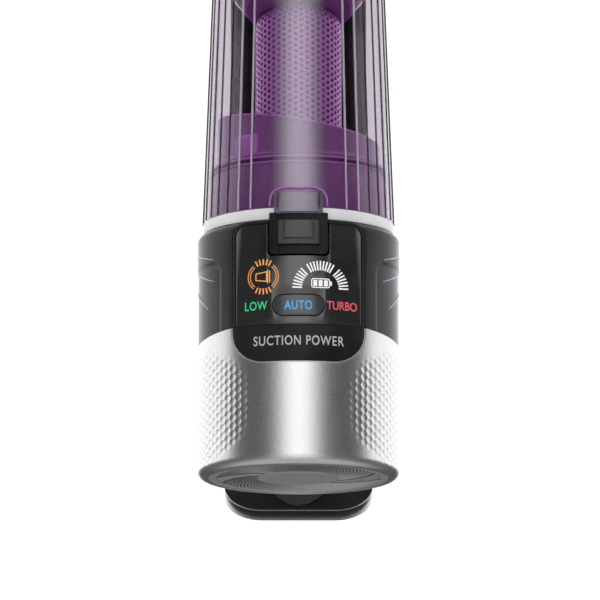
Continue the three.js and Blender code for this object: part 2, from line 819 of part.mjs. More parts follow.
/** The trigger's side view: it turns on a pin at its top. */
function triggerKey() {
  const face = (y) => -(gripMiddle(y) + grip.halfDepth * 0.97 + trigger.proud);
  const [top, low] = [triggerTop, triggerTop + trigger.length];
  const side = outline([
    [top, face(top) + trigger.thickness],
    [top, face(top) + 1.5],
    [top + 3, face(top + 3)],
    [(top + low) / 2, face((top + low) / 2) + 1.6],
    [low - 4, face(low - 4) + 0.4],
    [low, face(low) + 2],
    [low, face(low) + 5],
    [top + 9, face(top + 9) + trigger.thickness - 2],
  ]);
  const { radius, y, station } = triggerPin;
  const reach = trigger.width / 2 + 3;
  const key = sidePrism(side, -trigger.width / 2, trigger.width / 2);
  return join(key, barAlongX(radius, -reach, reach, y, -station, 12));
}

const triggerSwitch = () => {
  const y = triggerPin.y + 10;
  const middle = gripMiddle(y);
  return block(-4, 4, y - 5.5, y + 5.5, middle + 3, middle + 11);
};

// ---------------------------------------------------------------- battery

const latchSlot = { station: footMiddle, length: 18, y: batteryTop + 13, height: 10, depth: 4 };

const latchBlock = (side, grow, inner, outer) =>
  block(
    Math.min(side * inner, side * outer),
    Math.max(side * inner, side * outer),
    latchSlot.y - latchSlot.height / 2 - grow,
    latchSlot.y + latchSlot.height / 2 + grow,
    latchSlot.station - latchSlot.length / 2 - grow,
    latchSlot.station + latchSlot.length / 2 + grow,
  );

function batteryHousing() {
  return cut(
    frontPrism(footOutline(0), batteryTop, batteryBase),
    frontPrism(footOutline(battery.wall), batteryTop - 5, batteryBase - battery.wall),
    latchBlock(1, clearance, foot.halfWidth - 6, foot.halfWidth + 5),
    latchBlock(-1, clearance, foot.halfWidth - 6, foot.halfWidth + 5),
  );
}

/** The lid in the tray's mouth, with the plug that goes up into the grip. */
function batteryLid() {
  const lidOutline = footOutline(battery.wall + clearance);
  const lid = frontPrism(lidOutline, batteryTop + clearance, batteryTop + battery.lid);
  const y = footTop + foot.plate / 2;
  const stem = new THREE.CylinderGeometry(10, 10, 16, 16).translate(0, y, -gripMiddle(y));
  return join(lid, stem);
}

/** The cells side by side across the foot, in one wrapper. */
function batteryCells() {
  const y = batteryBase - battery.wall - clearance - battery.cellRadius;
  const pitch = 2 * battery.cellRadius - 0.1;
  const cells = Array.from({ length: battery.cells }, (_, i) => {
    const station = footMiddle + (i - (battery.cells - 1) / 2) * pitch;
    return barAlongX(battery.cellRadius, -battery.cellLength / 2, battery.cellLength / 2, y, -station, 14);
  });
  return join(...cells);
}

function batteryBoard() {
  const y = batteryTop + battery.lid + 1.2;
  return block(-26, 26, y, y + 1.6, foot.rear + 18, foot.rear + foot.length - 18);
}

const batteryLatch = (side) =>
  latchBlock(side, 0, foot.halfWidth + 0.5 - latchSlot.depth, foot.halfWidth + 0.5);

// ---------------------------------------------------------------- wand

/** A raised pad on the front of a sleeve, with a pocket that a press button sits in. */
function buttonSeat(surface, from) {
  const { halfWidth, length, inset, depth } = button;
  const padHalf = halfWidth + 3.3;
  const pad = block(-padHalf, padHalf, -surface - 3.5, -surface + 3.5, from, from + length + 2 * inset);
  const half = halfWidth + clearance;
  const [start, end] = [from + inset - clearance, from + inset + length + clearance];
  return { pad, pocket: block(-half, half, -surface - 10, -surface + depth, start, end) };
}

function pressButton(surface, from) {
  const { halfWidth, length, inset, proud, depth } = button;
  const start = from + inset;
  return block(-halfWidth, halfWidth, -surface - proud, -surface - depth, start, start + length);
}

const tubeBore = tube.radius - tube.wall;
const sleeveBore = tube.radius + clearance;
const sleeveRadius = tube.radius + 3.5;
const upperStart = 10.5;
const upperEnd = upperStart + tube.upperLength;
const forkEnd = upperEnd + 22;
const pinStation = forkEnd + knee.toPin;
const knuckleStart = pinStation + knee.toPin - 2;
const lowerStart = knuckleStart + 6;
const lowerEnd = lowerStart + tube.lowerLength;
const earInner = hoseRadius + 1.1;
const forkEarInner = earInner + knee.ear + clearance;

function wandCollar() {
  const body = turned(
    [
      [tubeBore, -collar.spigot],
      [spigotRadius, -collar.spigot],
      [spigotRadius, clearance],
      [collarRadius, clearance],
      [collarRadius, collar.length - 3],
      [collarRadius - 1.5, collar.length],
      [sleeveBore, collar.length],
      [sleeveBore, upperStart - clearance],
      [tubeBore, upperStart - clearance],
    ],
    32,
  );
  const seat = buttonSeat(collarRadius, 8);
  return cut(join(body, cut(seat.pad, ring(0, sleeveBore + 0.5, 0, 60, 32))), seat.pocket);
}

const wandTube = (from, to) => ring(tubeBore, tube.radius, from, to, 32);

/** One ear of the knee: a strap with a round end about the pin. */
function ear(x0, x1, radius, root) {
  const shape = new THREE.Shape();
  const pin = -pinStation;
  const up = root < pinStation;
  shape.moveTo(-radius * 0.8, -root);
  if (up) {
    shape.lineTo(-radius, pin);
    shape.absarc(0, pin, radius, Math.PI, 2 * Math.PI);
    shape.lineTo(radius * 0.8, -root);
  } else {
    shape.lineTo(radius * 0.8, -root);
    shape.lineTo(radius, pin);
    shape.absarc(0, pin, radius, 0, Math.PI);
  }
  shape.closePath();
  return sidePrism(shape, x0, x1, 8);
}

const pinHole = () => barAlongX(knee.pinRadius + runningGap, -60, 60, 0, -pinStation, 16);

function kneeFork() {
  const sleeve = turned(
    [
      [sleeveBore, upperEnd - 22],
      [sleeveRadius - 1.5, upperEnd - 22],
      [sleeveRadius, upperEnd - 20],
      [sleeveRadius, forkEnd],
      [hoseRadius + 0.7, forkEnd],
      [hoseRadius + 0.7, upperEnd + clearance],
      [sleeveBore, upperEnd + clearance],
    ],
    32,
  );
  const ears = [
    ear(forkEarInner, forkEarInner + knee.ear, knee.earRadius, forkEnd - 14),
    ear(-forkEarInner - knee.ear, -forkEarInner, knee.earRadius, forkEnd - 14),
  ];
  const seat = buttonSeat(sleeveRadius, upperEnd - 14);
  const pad = cut(seat.pad, ring(0, sleeveBore + 0.5, 0, upperEnd + 60, 32));
  return cut(join(sleeve, ...ears, pad), seat.pocket, pinHole());
}

function kneeKnuckle() {
  const sleeve = turned(
    [
      [hoseRadius + 0.7, knuckleStart],
      [sleeveRadius, knuckleStart],
      [sleeveRadius, knuckleStart + knee.sleeve - 2],
      [sleeveRadius - 1.5, knuckleStart + knee.sleeve],
      [sleeveBore, knuckleStart + knee.sleeve],
      [sleeveBore, lowerStart - clearance],
      [hoseRadius + 0.7, lowerStart - clearance],
    ],
    32,
  );
  const ears = [
    ear(earInner, earInner + knee.ear, knee.earRadius - 1.5, knuckleStart + 3),
    ear(-earInner - knee.ear, -earInner, knee.earRadius - 1.5, knuckleStart + 3),
  ];
  return cut(join(sleeve, ...ears), pinHole());
}

function kneePin(side) {
  const inner = earInner - 0.4;
  const outer = forkEarInner + knee.ear + clearance;
  const [x0, x1] = side > 0 ? [inner, outer + 0.6] : [-outer - 0.6, -inner];
  const [h0, h1] = side > 0 ? [outer, outer + 2] : [-outer - 2, -outer];
  return join(
    barAlongX(knee.pinRadius, x0, x1, 0, -pinStation, 16),
    barAlongX(knee.pinRadius + 2.5, h0, h1, 0, -pinStation, 16),
  );
}

/** A ribbed hose that carries the air across the knee. */
function kneeHose() {
  const from = upperEnd + 1;
  const to = lowerStart - 1;
  const ribs = 7;
  const pitch = (to - from) / ribs;
  const outer = [];
  const inner = [];
  for (let rib = 0; rib < ribs; rib += 1) {
    const start = from + rib * pitch;
    outer.push([hoseRadius - 2, start], [hoseRadius, start + pitch / 2]);
    inner.push([hoseRadius - 3.4, start], [hoseRadius - 1.4, start + pitch / 2]);
  }
  outer.push([hoseRadius - 2, to]);
  inner.push([hoseRadius - 3.4, to]);
  return turned([...outer, ...inner.reverse()], 16);
}

const footStart = lowerEnd - 20;
const footEnd = lowerEnd + 16;

/** The plastic end of the lower tube, that the neck swivels in. */
const wandFoot = () =>
  turned(
    [
      [sleeveBore, footStart],
      [sleeveRadius - 1, footStart],
      [sleeveRadius + 0.5, footStart + 3],
      [sleeveRadius + 0.5, footEnd],
      [neck.barrelRadius + runningGap, footEnd],
      [neck.barrelRadius + runningGap, lowerEnd + clearance],
      [sleeveBore, lowerEnd + clearance],
    ],
    32,
  );

// ---------------------------------------------------------------- floor head

const pivotStation = footEnd + neck.length;

/** The neck: a spigot that swivels in the wand's foot, and a cross barrel that the head tilts on. */
function neckPiece() {
  const stem = turned(
    [
      [neck.bore, lowerEnd + 4],
      [neck.barrelRadius, lowerEnd + 4],
      [neck.barrelRadius, footEnd + clearance],
      [sleeveRadius, footEnd + clearance],
      [sleeveRadius, footEnd + 8],
      [neck.barrelRadius, pivotStation],
      [neck.bore, pivotStation],
    ],
    28,
  );
  const bore = ring(0, neck.bore, 0, pivotStation, 28);
  const cross = barAlongX(neck.barrelRadius, -neck.halfWidth, neck.halfWidth, 0, -pivotStation, 24);
  const reach = neck.halfWidth + 5.6;
  const pins = barAlongX(neck.pinRadius, -reach, reach, 0, -pivotStation, 16);
  return cut(join(stem, cross, pins), bore);
}

const headBottom = head.groundGap;
const beltX = -head.halfWidth + head.wall + 4;
const rollerLeft = -head.halfWidth + head.wall;
const rollerRight = head.halfWidth - 8;
const cheekInner = neck.halfWidth + clearance;
const wheelX = head.halfWidth - wheel.width - 3;

/** A square pocket for a rear wheel. */
const wheelWell = (side) => {
  const [x0, x1] = side > 0 ? [wheelX - 1, head.halfWidth + 1] : [-head.halfWidth - 1, -wheelX + 1];
  return box(x0, x1, wheel.y - wheel.radius - 1.2, head.rear + 2, -5, 2 * wheel.radius + 2);
};

const axleHole = () =>
  barAlongX(wheel.axle + runningGap, -head.halfWidth - 1, head.halfWidth + 1, wheel.y, wheel.radius, 12);

const capHole = () =>
  barAlongX(roller.cap + runningGap, rollerRight - 1, head.halfWidth + 1, roller.axisY, roller.axisZ, 24);

function headBase() {
  const { halfWidth, front, rear, split, wall } = head;
  const body = box(-halfWidth, halfWidth, -front, rear, headBottom, split);
  const chamber = box(rollerLeft, rollerRight, roller.axisY - 26, roller.axisY + 26, -5, split + 5);
  const floorTop = headBottom + wall;
  const trayX = halfWidth - wall;
  const notchX = cheekInner + 6;
  const tray = box(-trayX, trayX, roller.axisY + 28.5, rear - wall, floorTop, split + 5);
  const notch = box(-notchX, notchX, -neck.barrelRadius - 6, rear + 5, floorTop, split + 5);
  const cheekSide = new THREE.Shape();
  cheekSide.moveTo(-13, headBottom);
  cheekSide.lineTo(13, headBottom);
  cheekSide.lineTo(11, head.pivotHeight);
  cheekSide.absarc(0, head.pivotHeight, 11, 0, Math.PI);
  cheekSide.closePath();
  const cheeks = [
    sidePrism(cheekSide, cheekInner, cheekInner + 5.7, 6),
    sidePrism(cheekSide, -cheekInner - 5.7, -cheekInner, 6),
  ];
  const wellWalls = [1, -1].map((side) => {
    const [x0, x1] = side > 0 ? [wheelX - 3.5, wheelX - 1] : [-wheelX + 1, -wheelX + 3.5];
    return box(x0, x1, wheel.y - wheel.radius - 3.4, rear, headBottom, split);
  });
  const boreReach = cheekInner + 10;
  const pinBore = barAlongX(neck.pinRadius + runningGap, -boreReach, boreReach, 0, head.pivotHeight, 16);
  return cut(
    join(cut(body, chamber, tray, notch), ...cheeks, ...wellWalls),
    box(beltX - 1.5, beltX + belt.width + 1.5, roller.axisY + 20, roller.axisY + 34, 12, split + 5),
    pinBore,
    wheelWell(1),
    wheelWell(-1),
    axleHole(),
    capHole(),
  );
}

/** The cover's side view, drawn in by a wall. */
const coverSide = (inset) => {
  const { front, rear, split } = head;
  const height = headHeight;
  const shape = new THREE.Shape();
  shape.moveTo(-front + inset, split + clearance - (inset ? 5 : 0));
  shape.lineTo(-front + inset, split + 8);
  shape.quadraticCurveTo(-front + inset, height - 5 - inset, -front + 24, height - inset);
  shape.lineTo(-34, height - inset);
  shape.quadraticCurveTo(rear - 10 - inset, height - inset, rear - inset, split + 8);
  shape.lineTo(rear - inset, split + clearance - (inset ? 5 : 0));
  shape.closePath();
  return shape;
};

function headCover() {
  const { halfWidth, rear, wall } = head;
  const shell = cut(
    sidePrism(coverSide(0), -halfWidth, halfWidth, 5),
    sidePrism(coverSide(wall), -halfWidth + wall, halfWidth - wall, 5),
  );
  const notchX = cheekInner + 6 + clearance;
  const notch = box(-notchX, notchX, -neck.barrelRadius - 8, rear + 5, 0, headHeight + 5);
  const { axisY } = roller;
  const wallBottom = head.split + clearance;
  const endWall = box(rollerRight, halfWidth - 1, axisY - 22, axisY + 22, wallBottom, headHeight - 8);
  return cut(join(shell, endWall), notch, capHole(), wheelWell(1), wheelWell(-1));
}

/** The roller: a core with four helical rows of bristles and a drive pulley at its left end. */
function brushRoller() {
  const length = rollerRight - 1 - (rollerLeft + roller.drive + 2);
  const rows = 4;
  const share = 0.16;
  const points = [];
  for (let row = 0; row < rows; row += 1) {
    const start = (row / rows) * 2 * Math.PI;
    const step = (2 * Math.PI) / rows;
    const at = (turn, r) =>
      points.push(new THREE.Vector2(r * Math.cos(start + turn), r * Math.sin(start + turn)));
    at(0, roller.radius);
    at(0.02, roller.bristle);
    at(step * share, roller.bristle);
    at(step * share + 0.02, roller.radius);
    at(step * 0.45, roller.radius);
    at(step * 0.72, roller.radius);
  }
  const settings = { depth: length, steps: 10, bevelEnabled: false };
  const bar = new THREE.ExtrudeGeometry(new THREE.Shape(points), settings);
  const twist = Math.PI / 2;
  const place = bar.attributes.position;
  for (let i = 0; i < place.count; i += 1) {
    const turn = (place.getZ(i) / length) * twist;
    const [x, y] = [place.getX(i), place.getY(i)];
    place.setXY(i, x * Math.cos(turn) - y * Math.sin(turn), x * Math.sin(turn) + y * Math.cos(turn));
  }
  bar.rotateY(Math.PI / 2).translate(rollerLeft + roller.drive + 2, roller.axisY, roller.axisZ);
  const { axisY, axisZ, drive } = roller;
  const pulley = barAlongX(belt.rollerPulley, rollerLeft + 2, rollerLeft + drive + 3, axisY, axisZ, 20);
  const stub = barAlongX(roller.stub, rollerRight - 2, rollerRight + 3, axisY, axisZ, 12);
  return join(bar, pulley, stub);
}

/** The screw-in cap that holds the roller's free end. */
function rollerCap() {
  const { axisY, axisZ } = roller;
  const { halfWidth } = head;
  const disc = barAlongX(roller.cap, rollerRight + clearance, halfWidth + 0.8, axisY, axisZ, 24);
  const socket = barAlongX(roller.stub + runningGap, rollerRight - 1, rollerRight + 3.4, axisY, axisZ, 12);
  const coinSlot = box(halfWidth - 1, halfWidth + 5, axisY - 11, axisY + 11, axisZ - 1.2, axisZ + 1.2);
  return cut(disc, socket, coinSlot);
}

const wheelPiece = (side) => {
  const [x0, x1] = side > 0 ? [wheelX, wheelX + wheel.width] : [-wheelX - wheel.width, -wheelX];
  const [a0, a1] = side > 0 ? [wheelX - 5, wheelX + 1] : [-wheelX - 1, -wheelX + 5];
  return join(
    barAlongX(wheel.radius, x0, x1, wheel.y, wheel.radius, 24),
    barAlongX(wheel.axle, a0, a1, wheel.y, wheel.radius, 12),
  );
};

const motorShaftX = beltX + belt.width + 4;

function brushMotorBody() {
  const { radius, length, y, z } = brushMotor;
  const can = barAlongX(radius, motorShaftX, motorShaftX + length, y, z, 20);
  return cut(can, barAlongX(2 + runningGap, motorShaftX - 1, motorShaftX + 12, y, z, 12));
}

const motorPulley = () =>
  join(
    barAlongX(belt.motorPulley, beltX - 0.5, beltX + belt.width + 1, brushMotor.y, brushMotor.z, 16),
    barAlongX(2, beltX + belt.width, motorShaftX + 10, brushMotor.y, brushMotor.z, 12),
  );

/** The outline of a belt round two pulleys, in the Y-Z plane. */
function beltLoop(grow) {
  const [y1, z1, r1] = [roller.axisY, roller.axisZ, belt.rollerPulley + grow];
  const [y2, z2, r2] = [brushMotor.y, brushMotor.z, belt.motorPulley + grow];
  const along = Math.atan2(z2 - z1, y2 - y1);
  const tilt = Math.acos((r1 - r2) / Math.hypot(y2 - y1, z2 - z1));
  const shape = new THREE.Shape();
  shape.absarc(y1, z1, r1, along + tilt, along - tilt + 2 * Math.PI);
  shape.absarc(y2, z2, r2, along - tilt, along + tilt);
  shape.closePath();
  return shape;
}

function driveBelt() {
  const loop = beltLoop(clearance + belt.thickness);
  const inside = sidePrism(beltLoop(clearance), beltX - 5, beltX + belt.width + 5, 8);
  return cut(sidePrism(loop, beltX, beltX + belt.width, 8), inside);
}

// ---------------------------------------------------------------- assembly

const vacuum = new THREE.Group();
const handUnit = placed(0, -batteryBase, footMiddle);
vacuum.add(handUnit);

add(handUnit, "motor_housing", motorHousing(), silver);
add(handUnit, "control_housing", controlHousing(), satinBlack);
add(handUnit, "trim_ring", ring(trim.innerRadius, binRadius, trimStart, trimEnd), trimWhite);
add(handUnit, "exhaust_cover", exhaustCover(), silver);
add(handUnit, "exhaust_filter", pleatedRing(), foam);
add(handUnit, "display_bezel", displayBezel(), glossBlack);
add(handUnit, "display_lens", displayLens(), darkLens);
add(handUnit, "display_tray", displayTray(), satinBlack);
add(handUnit, "display_board", displayCircuit(), circuit);
add(handUnit, "mode_button", modeButton(), darkLens);
add(handUnit, "latch_guide", latchGuide(), glossBlack);
add(handUnit, "latch_button", latchButton(), glossBlack);

add(handUnit, "motor_can", motorCan(), steel);
add(handUnit, "motor_mount_rear", motorMount(motor.start + 7, motor.start + 11, 6), rubber);
add(handUnit, "motor_mount_front", motorMount(motor.start + 14, motor.start + 18, 0), rubber);
add(handUnit, "motor_board", ring(5, motor.radius - 3, motor.start - 3.4, motor.start - 1.8, 20), circuit);
add(handUnit, "motor_shaft", motorShaft(), steel);
add(handUnit, "impeller", impellerWheel(), satinBlack);
add(handUnit, "intake_funnel", intakeFunnel(), satinBlack);

add(handUnit, "bin_shell", binShell(), clearTint);
add(handUnit, "cyclone_base", cycloneBase(), violet);
add(handUnit, "mesh_screen", meshScreen(), violet);
add(handUnit, "cyclone_head", cycloneHead(), violet);
add(handUnit, "bin_filter", binFilter(), foam);

add(handUnit, "duct_housing", ductHousing(), glossBlack);
add(handUnit, "inlet_gasket", inletGasket(), rubber);

add(handUnit, "handle_left", handleHalf(-1), glossBlack);
add(handUnit, "handle_right", handleHalf(1), glossBlack);
add(handUnit, "handle_screw_upper", handleScrew(screwDepths[0]), steel);
add(handUnit, "handle_screw_lower", handleScrew(screwDepths[1]), steel);
add(handUnit, "grip_pad", gripPad(), rubber);
add(handUnit, "trigger", triggerKey(), violet);
add(handUnit, "trigger_switch", triggerSwitch(), satinBlack);

add(handUnit, "battery_housing", batteryHousing(), glossBlack);
add(handUnit, "battery_lid", batteryLid(), satinBlack);
add(handUnit, "battery_cells", batteryCells(), cellWrap);
add(handUnit, "battery_board", batteryBoard(), circuit);
add(handUnit, "battery_latch_left", batteryLatch(-1), satinBlack);
add(handUnit, "battery_latch_right", batteryLatch(1), satinBlack);

const wand = placed(0, wandOffset, -noseEnd);
handUnit.add(wand);
add(wand, "wand_collar", wandCollar(), glossBlack);
add(wand, "wand_button", pressButton(collarRadius, 8), violet);
add(wand, "upper_tube", wandTube(upperStart, upperEnd), silver);
add(wand, "knee_fork", kneeFork(), satinBlack);
add(wand, "knee_button", pressButton(sleeveRadius, upperEnd - 14), violet);
add(wand, "knee_pin_left", kneePin(-1), steel);
add(wand, "knee_pin_right", kneePin(1), steel);
add(wand, "knee_hose", kneeHose(), rubber);
add(wand, "knee_knuckle", kneeKnuckle(), satinBlack);
add(wand, "lower_tube", wandTube(lowerStart, lowerEnd), silver);
add(wand, "wand_foot", wandFoot(), satinBlack);
add(wand, "neck", neckPiece(), satinBlack);

const floorHead = placed(0, 0, -pivotStation - head.pivotHeight);
wand.add(floorHead);
add(floorHead, "head_base", headBase(), satinBlack);
add(floorHead, "head_cover", headCover(), glossBlack);
add(floorHead, "brush_roller", brushRoller(), bristles);
add(floorHead, "roller_cap", rollerCap(), violet);
add(floorHead, "brush_motor", brushMotorBody(), steel);
add(floorHead, "motor_pulley", motorPulley(), steel);
add(floorHead, "drive_belt", driveBelt(), rubber);
add(floorHead, "wheel_left", wheelPiece(-1), rubber);
add(floorHead, "wheel_right", wheelPiece(1), rubber);

export default vacuum;
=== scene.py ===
import enum
import json
import logging
import math
from dataclasses import dataclass
from typing import Any, Iterable, Sequence

import bmesh
import bpy
from mathutils import Matrix, Vector

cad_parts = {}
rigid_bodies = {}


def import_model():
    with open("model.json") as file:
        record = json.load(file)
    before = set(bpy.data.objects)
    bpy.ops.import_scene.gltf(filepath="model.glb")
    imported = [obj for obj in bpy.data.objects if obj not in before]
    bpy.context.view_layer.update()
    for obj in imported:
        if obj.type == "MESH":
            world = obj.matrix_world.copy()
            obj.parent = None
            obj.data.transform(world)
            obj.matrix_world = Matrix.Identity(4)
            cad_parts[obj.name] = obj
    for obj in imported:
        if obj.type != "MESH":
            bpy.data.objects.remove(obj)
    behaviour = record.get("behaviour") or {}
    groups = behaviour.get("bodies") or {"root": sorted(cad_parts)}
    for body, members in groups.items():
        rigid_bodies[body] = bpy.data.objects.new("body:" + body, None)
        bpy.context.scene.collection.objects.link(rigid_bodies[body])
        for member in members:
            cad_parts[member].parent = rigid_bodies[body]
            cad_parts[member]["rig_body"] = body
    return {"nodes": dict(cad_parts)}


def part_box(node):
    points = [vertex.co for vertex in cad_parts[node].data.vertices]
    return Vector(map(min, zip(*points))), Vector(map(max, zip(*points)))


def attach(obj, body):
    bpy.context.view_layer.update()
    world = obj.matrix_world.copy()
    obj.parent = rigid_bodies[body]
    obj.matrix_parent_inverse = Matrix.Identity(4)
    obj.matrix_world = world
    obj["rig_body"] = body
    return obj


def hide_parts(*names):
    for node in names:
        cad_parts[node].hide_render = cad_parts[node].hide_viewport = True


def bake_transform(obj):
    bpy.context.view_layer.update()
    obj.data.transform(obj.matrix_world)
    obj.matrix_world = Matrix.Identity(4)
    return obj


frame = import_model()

LOG = logging.getLogger("stick_vacuum")
FULL_TURN = 2 * math.pi
HAIR = 1e-6  # metres
Triple = tuple[float, float, float]
Colour = Triple
Point = tuple[float, float]


# ---------------------------------------------------------------- places taken from the frame


@dataclass(frozen=True)
class Barrel:
    """The hand unit's barrel, which its other pieces are built round.

    A station is the distance from the outer end face towards the bin.
    """

    axis_y: float
    end: float
    radius: float

    @classmethod
    def from_frame(cls) -> "Barrel":
        """Reads the barrel from the CAD shell's box."""
        low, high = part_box("motor_housing")
        return cls((low.y + high.y) / 2, high.z, (high.x - low.x) / 2)

    def station_of(self, z: float) -> float:
        """The station of a height."""
        return self.end - z

    def span(self, node: str) -> Point:
        """The first and last station of a CAD node."""
        low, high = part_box(node)
        return self.station_of(high.z), self.station_of(low.z)

    def place(self, bm: bmesh.types.BMesh) -> bmesh.types.BMesh:
        """Moves a mesh that was built round the origin to the barrel's axis."""
        bmesh.ops.translate(bm, verts=bm.verts, vec=(0, self.axis_y, self.end))
        return bm


BARREL = Barrel.from_frame()


# ---------------------------------------------------------------- materials


class Signal:
    """A value that a material's nodes work out. Arithmetic on it adds Math nodes."""

    def __init__(self, recipe: "Recipe", socket: bpy.types.NodeSocket) -> None:
        """Wraps a socket.

        Args:
            recipe: The recipe that the socket belongs to.
            socket: The output socket.
        """
        self.recipe = recipe
        self.socket = socket

    def _math(self, operation: str, *values: "Signal | float") -> "Signal":
        """Adds one Math node on the given values."""
        return self.recipe.node("ShaderNodeMath", {"operation": operation}, dict(enumerate(values)))

    def __add__(self, other: "Signal | float") -> "Signal":
        """The sum."""
        return self._math("ADD", self, other)

    def __radd__(self, other: float) -> "Signal":
        """The sum, from the right."""
        return self._math("ADD", other, self)

    def __sub__(self, other: "Signal | float") -> "Signal":
        """The difference."""
        return self._math("SUBTRACT", self, other)

    def __rsub__(self, other: float) -> "Signal":
        """The difference, from the right."""
        return self._math("SUBTRACT", other, self)

    def __mul__(self, other: "Signal | float") -> "Signal":
        """The product."""
        return self._math("MULTIPLY", self, other)

    def __rmul__(self, other: float) -> "Signal":
        """The product, from the right."""
        return self._math("MULTIPLY", other, self)

    def __truediv__(self, other: "Signal | float") -> "Signal":
        """The quotient."""
        return self._math("DIVIDE", self, other)

    def __pow__(self, power: float) -> "Signal":
        """The power."""
        return self._math("POWER", self, power)

    def between(self, low: float, high: float) -> "Signal":
        """A smooth step from 0 at low to 1 at high."""
        return self.recipe.node(
            "ShaderNodeMapRange",
            {"interpolation_type": "SMOOTHSTEP"},
            {"Value": self, "From Min": low, "From Max": high},
        )


class Recipe:
    """A material in the making."""

    def __init__(self, owner: bpy.types.Material | bpy.types.World) -> None:
        """Starts a material's or a world's nodes afresh.

        Args:
            owner: The material or world.
        """
        owner.use_nodes = True
        self.tree = owner.node_tree
        self.tree.nodes.clear()

    def node(
        self,
        kind: str,
        settings: dict[str, Any] | None = None,
        inputs: dict[str | int, Any] | None = None,
        output: str | int = 0,
    ) -> Signal:
        """Adds a node.

        Args:
            kind: The node's type.
            settings: The node's own settings, set first. A ramp's are its stops.
            inputs: Values or signals of its sockets, by name or number.
            output: The output that is wanted.

        Returns:
            That output.
        """
        made = self.tree.nodes.new(kind)
        for key, value in (settings or {}).items():
            if key == "stops":
                self._set_stops(made.color_ramp, value)
            else:
                setattr(made, key, value)
        for key, value in (inputs or {}).items():
            if isinstance(value, Signal):
                self.tree.links.new(value.socket, made.inputs[key])
            else:
                made.inputs[key].default_value = value
        return Signal(self, made.outputs[output])

    @staticmethod
    def _set_stops(ramp: bpy.types.ColorRamp, stops: Sequence[tuple[float, Colour]]) -> None:
        """Gives a ramp its stops, in order."""
        while len(ramp.elements) < len(stops):
            ramp.elements.new(0.5)
        for element, (position, colour) in zip(ramp.elements, stops):
            element.position = position
            element.color = (*colour, 1)

    def place(self, scale: Triple = (1, 1, 1)) -> Signal:
        """Object coordinates in metres, stretched."""
        here = self.node("ShaderNodeTexCoord", output="Object")
        return self.node("ShaderNodeMapping", {"vector_type": "POINT"}, {"Vector": here, "Scale": scale})

    def noise(self, grain: float, detail: float = 2, stretch: Triple = (1, 1, 1)) -> Signal:
        """Noise of one kind.

        Args:
            grain: The grains' rough size, in metres.
            detail: How many finer layers it has.
            stretch: The scale along each axis; less than 1 draws the grains out.

        Returns:
            The noise, from 0 to 1.
        """
        return self.node(
            "ShaderNodeTexNoise",
            inputs={"Vector": self.place(stretch), "Scale": 1 / grain, "Detail": detail, "Roughness": 0.55},
        )

    def blend(self, share: Signal, first: Colour | Signal, second: Colour | Signal) -> Signal:
        """A colour between two colours.

        Args:
            share: How far it is from the first to the second.
            first: The colour at 0.
            second: The colour at 1.

        Returns:
            The mixed colour.
        """
        ends = [value if isinstance(value, Signal) else (*value, 1) for value in (first, second)]
        return self.node(
            "ShaderNodeMix",
            {"data_type": "RGBA"},
            {"Factor": share, 6: ends[0], 7: ends[1]},
            output=2,
        )

    def bump(self, height: Signal, depth: float, strength: float = 1.0) -> Signal:
        """A normal from a height of 0 to 1 that stands for a depth in metres."""
        return self.node(
            "ShaderNodeBump",
            inputs={"Height": height, "Distance": depth, "Strength": strength},
        )

    def shader(self, **sockets: Any) -> Signal:
        """A Principled shader; underscores in a name stand for spaces.

        Returns:
            The shader.
        """
        inputs = {key.replace("_", " "): value for key, value in sockets.items()}
        for key in ("Base Color", "Emission Color", "Sheen Tint"):
            if isinstance(inputs.get(key), tuple):
                inputs[key] = (*inputs[key], 1)
        return self.node("ShaderNodeBsdfPrincipled", inputs=inputs)

    def close(self, surface: Signal, kind: str = "ShaderNodeOutputMaterial") -> None:
        """Links a shader to an output node.

        Args:
            surface: The shader.
            kind: The output node's type.
        """
        end = self.tree.nodes.new(kind)
        self.tree.links.new(surface.socket, end.inputs["Surface"])


def lighter(colour: Colour, share: float) -> Colour:
    """A colour moved towards white, or for a negative share towards black."""
    target = 1.0 if share > 0 else 0.0
    mixed = [c + (target - c) * abs(share) for c in colour]
    return mixed[0], mixed[1], mixed[2]


class Finish:
    """A finish that pieces share. It is made into a material once."""

    _made: dict[str, bpy.types.Material] = {}
    name: str

    def build(self, recipe: Recipe) -> Signal:
        """Adds the finish's nodes to a recipe."""
        raise NotImplementedError

    def material(self) -> bpy.types.Material:
        """The finish as a material."""
        if self.name not in Finish._made:
            made = bpy.data.materials.new(self.name)
            recipe = Recipe(made)
            recipe.close(self.build(recipe))
            Finish._made[self.name] = made
        return Finish._made[self.name]


@dataclass(frozen=True)
class Lacquer(Finish):
    """Metallic lacquer: bright flakes of slightly different tone under a clear coat."""

    name: str
    colour: Colour
    roughness: float = 0.3
    flake: float = 0.00028
    sparkle: float = 0.5
    depth: float = 0.00003

    def build(self, recipe: Recipe) -> Signal:
        """Flakes tilt the surface a little, and change its tone.

        Args:
            recipe: The material in the making.

        Returns:
            The shader.
        """
        flakes = recipe.node(
            "ShaderNodeTexVoronoi",
            inputs={"Vector": recipe.place(), "Scale": 1 / self.flake},
            output="Color",
        )
        tone = recipe.node("ShaderNodeSeparateColor", inputs={"Color": flakes}, output="Red")
        cloud = recipe.noise(0.012, 3)
        rough = self.roughness - 0.05 + tone * 0.08 + cloud * 0.05
        return recipe.shader(
            Base_Color=recipe.blend(tone * 0.7, lighter(self.colour, -0.16), lighter(self.colour, 0.25)),
            Metallic=0.92,
            Roughness=rough,
            Coat_Weight=0.1,
            Coat_Roughness=0.2,
            Normal=recipe.bump(recipe.noise(self.flake * 2, 2), self.depth, self.sparkle),
        )


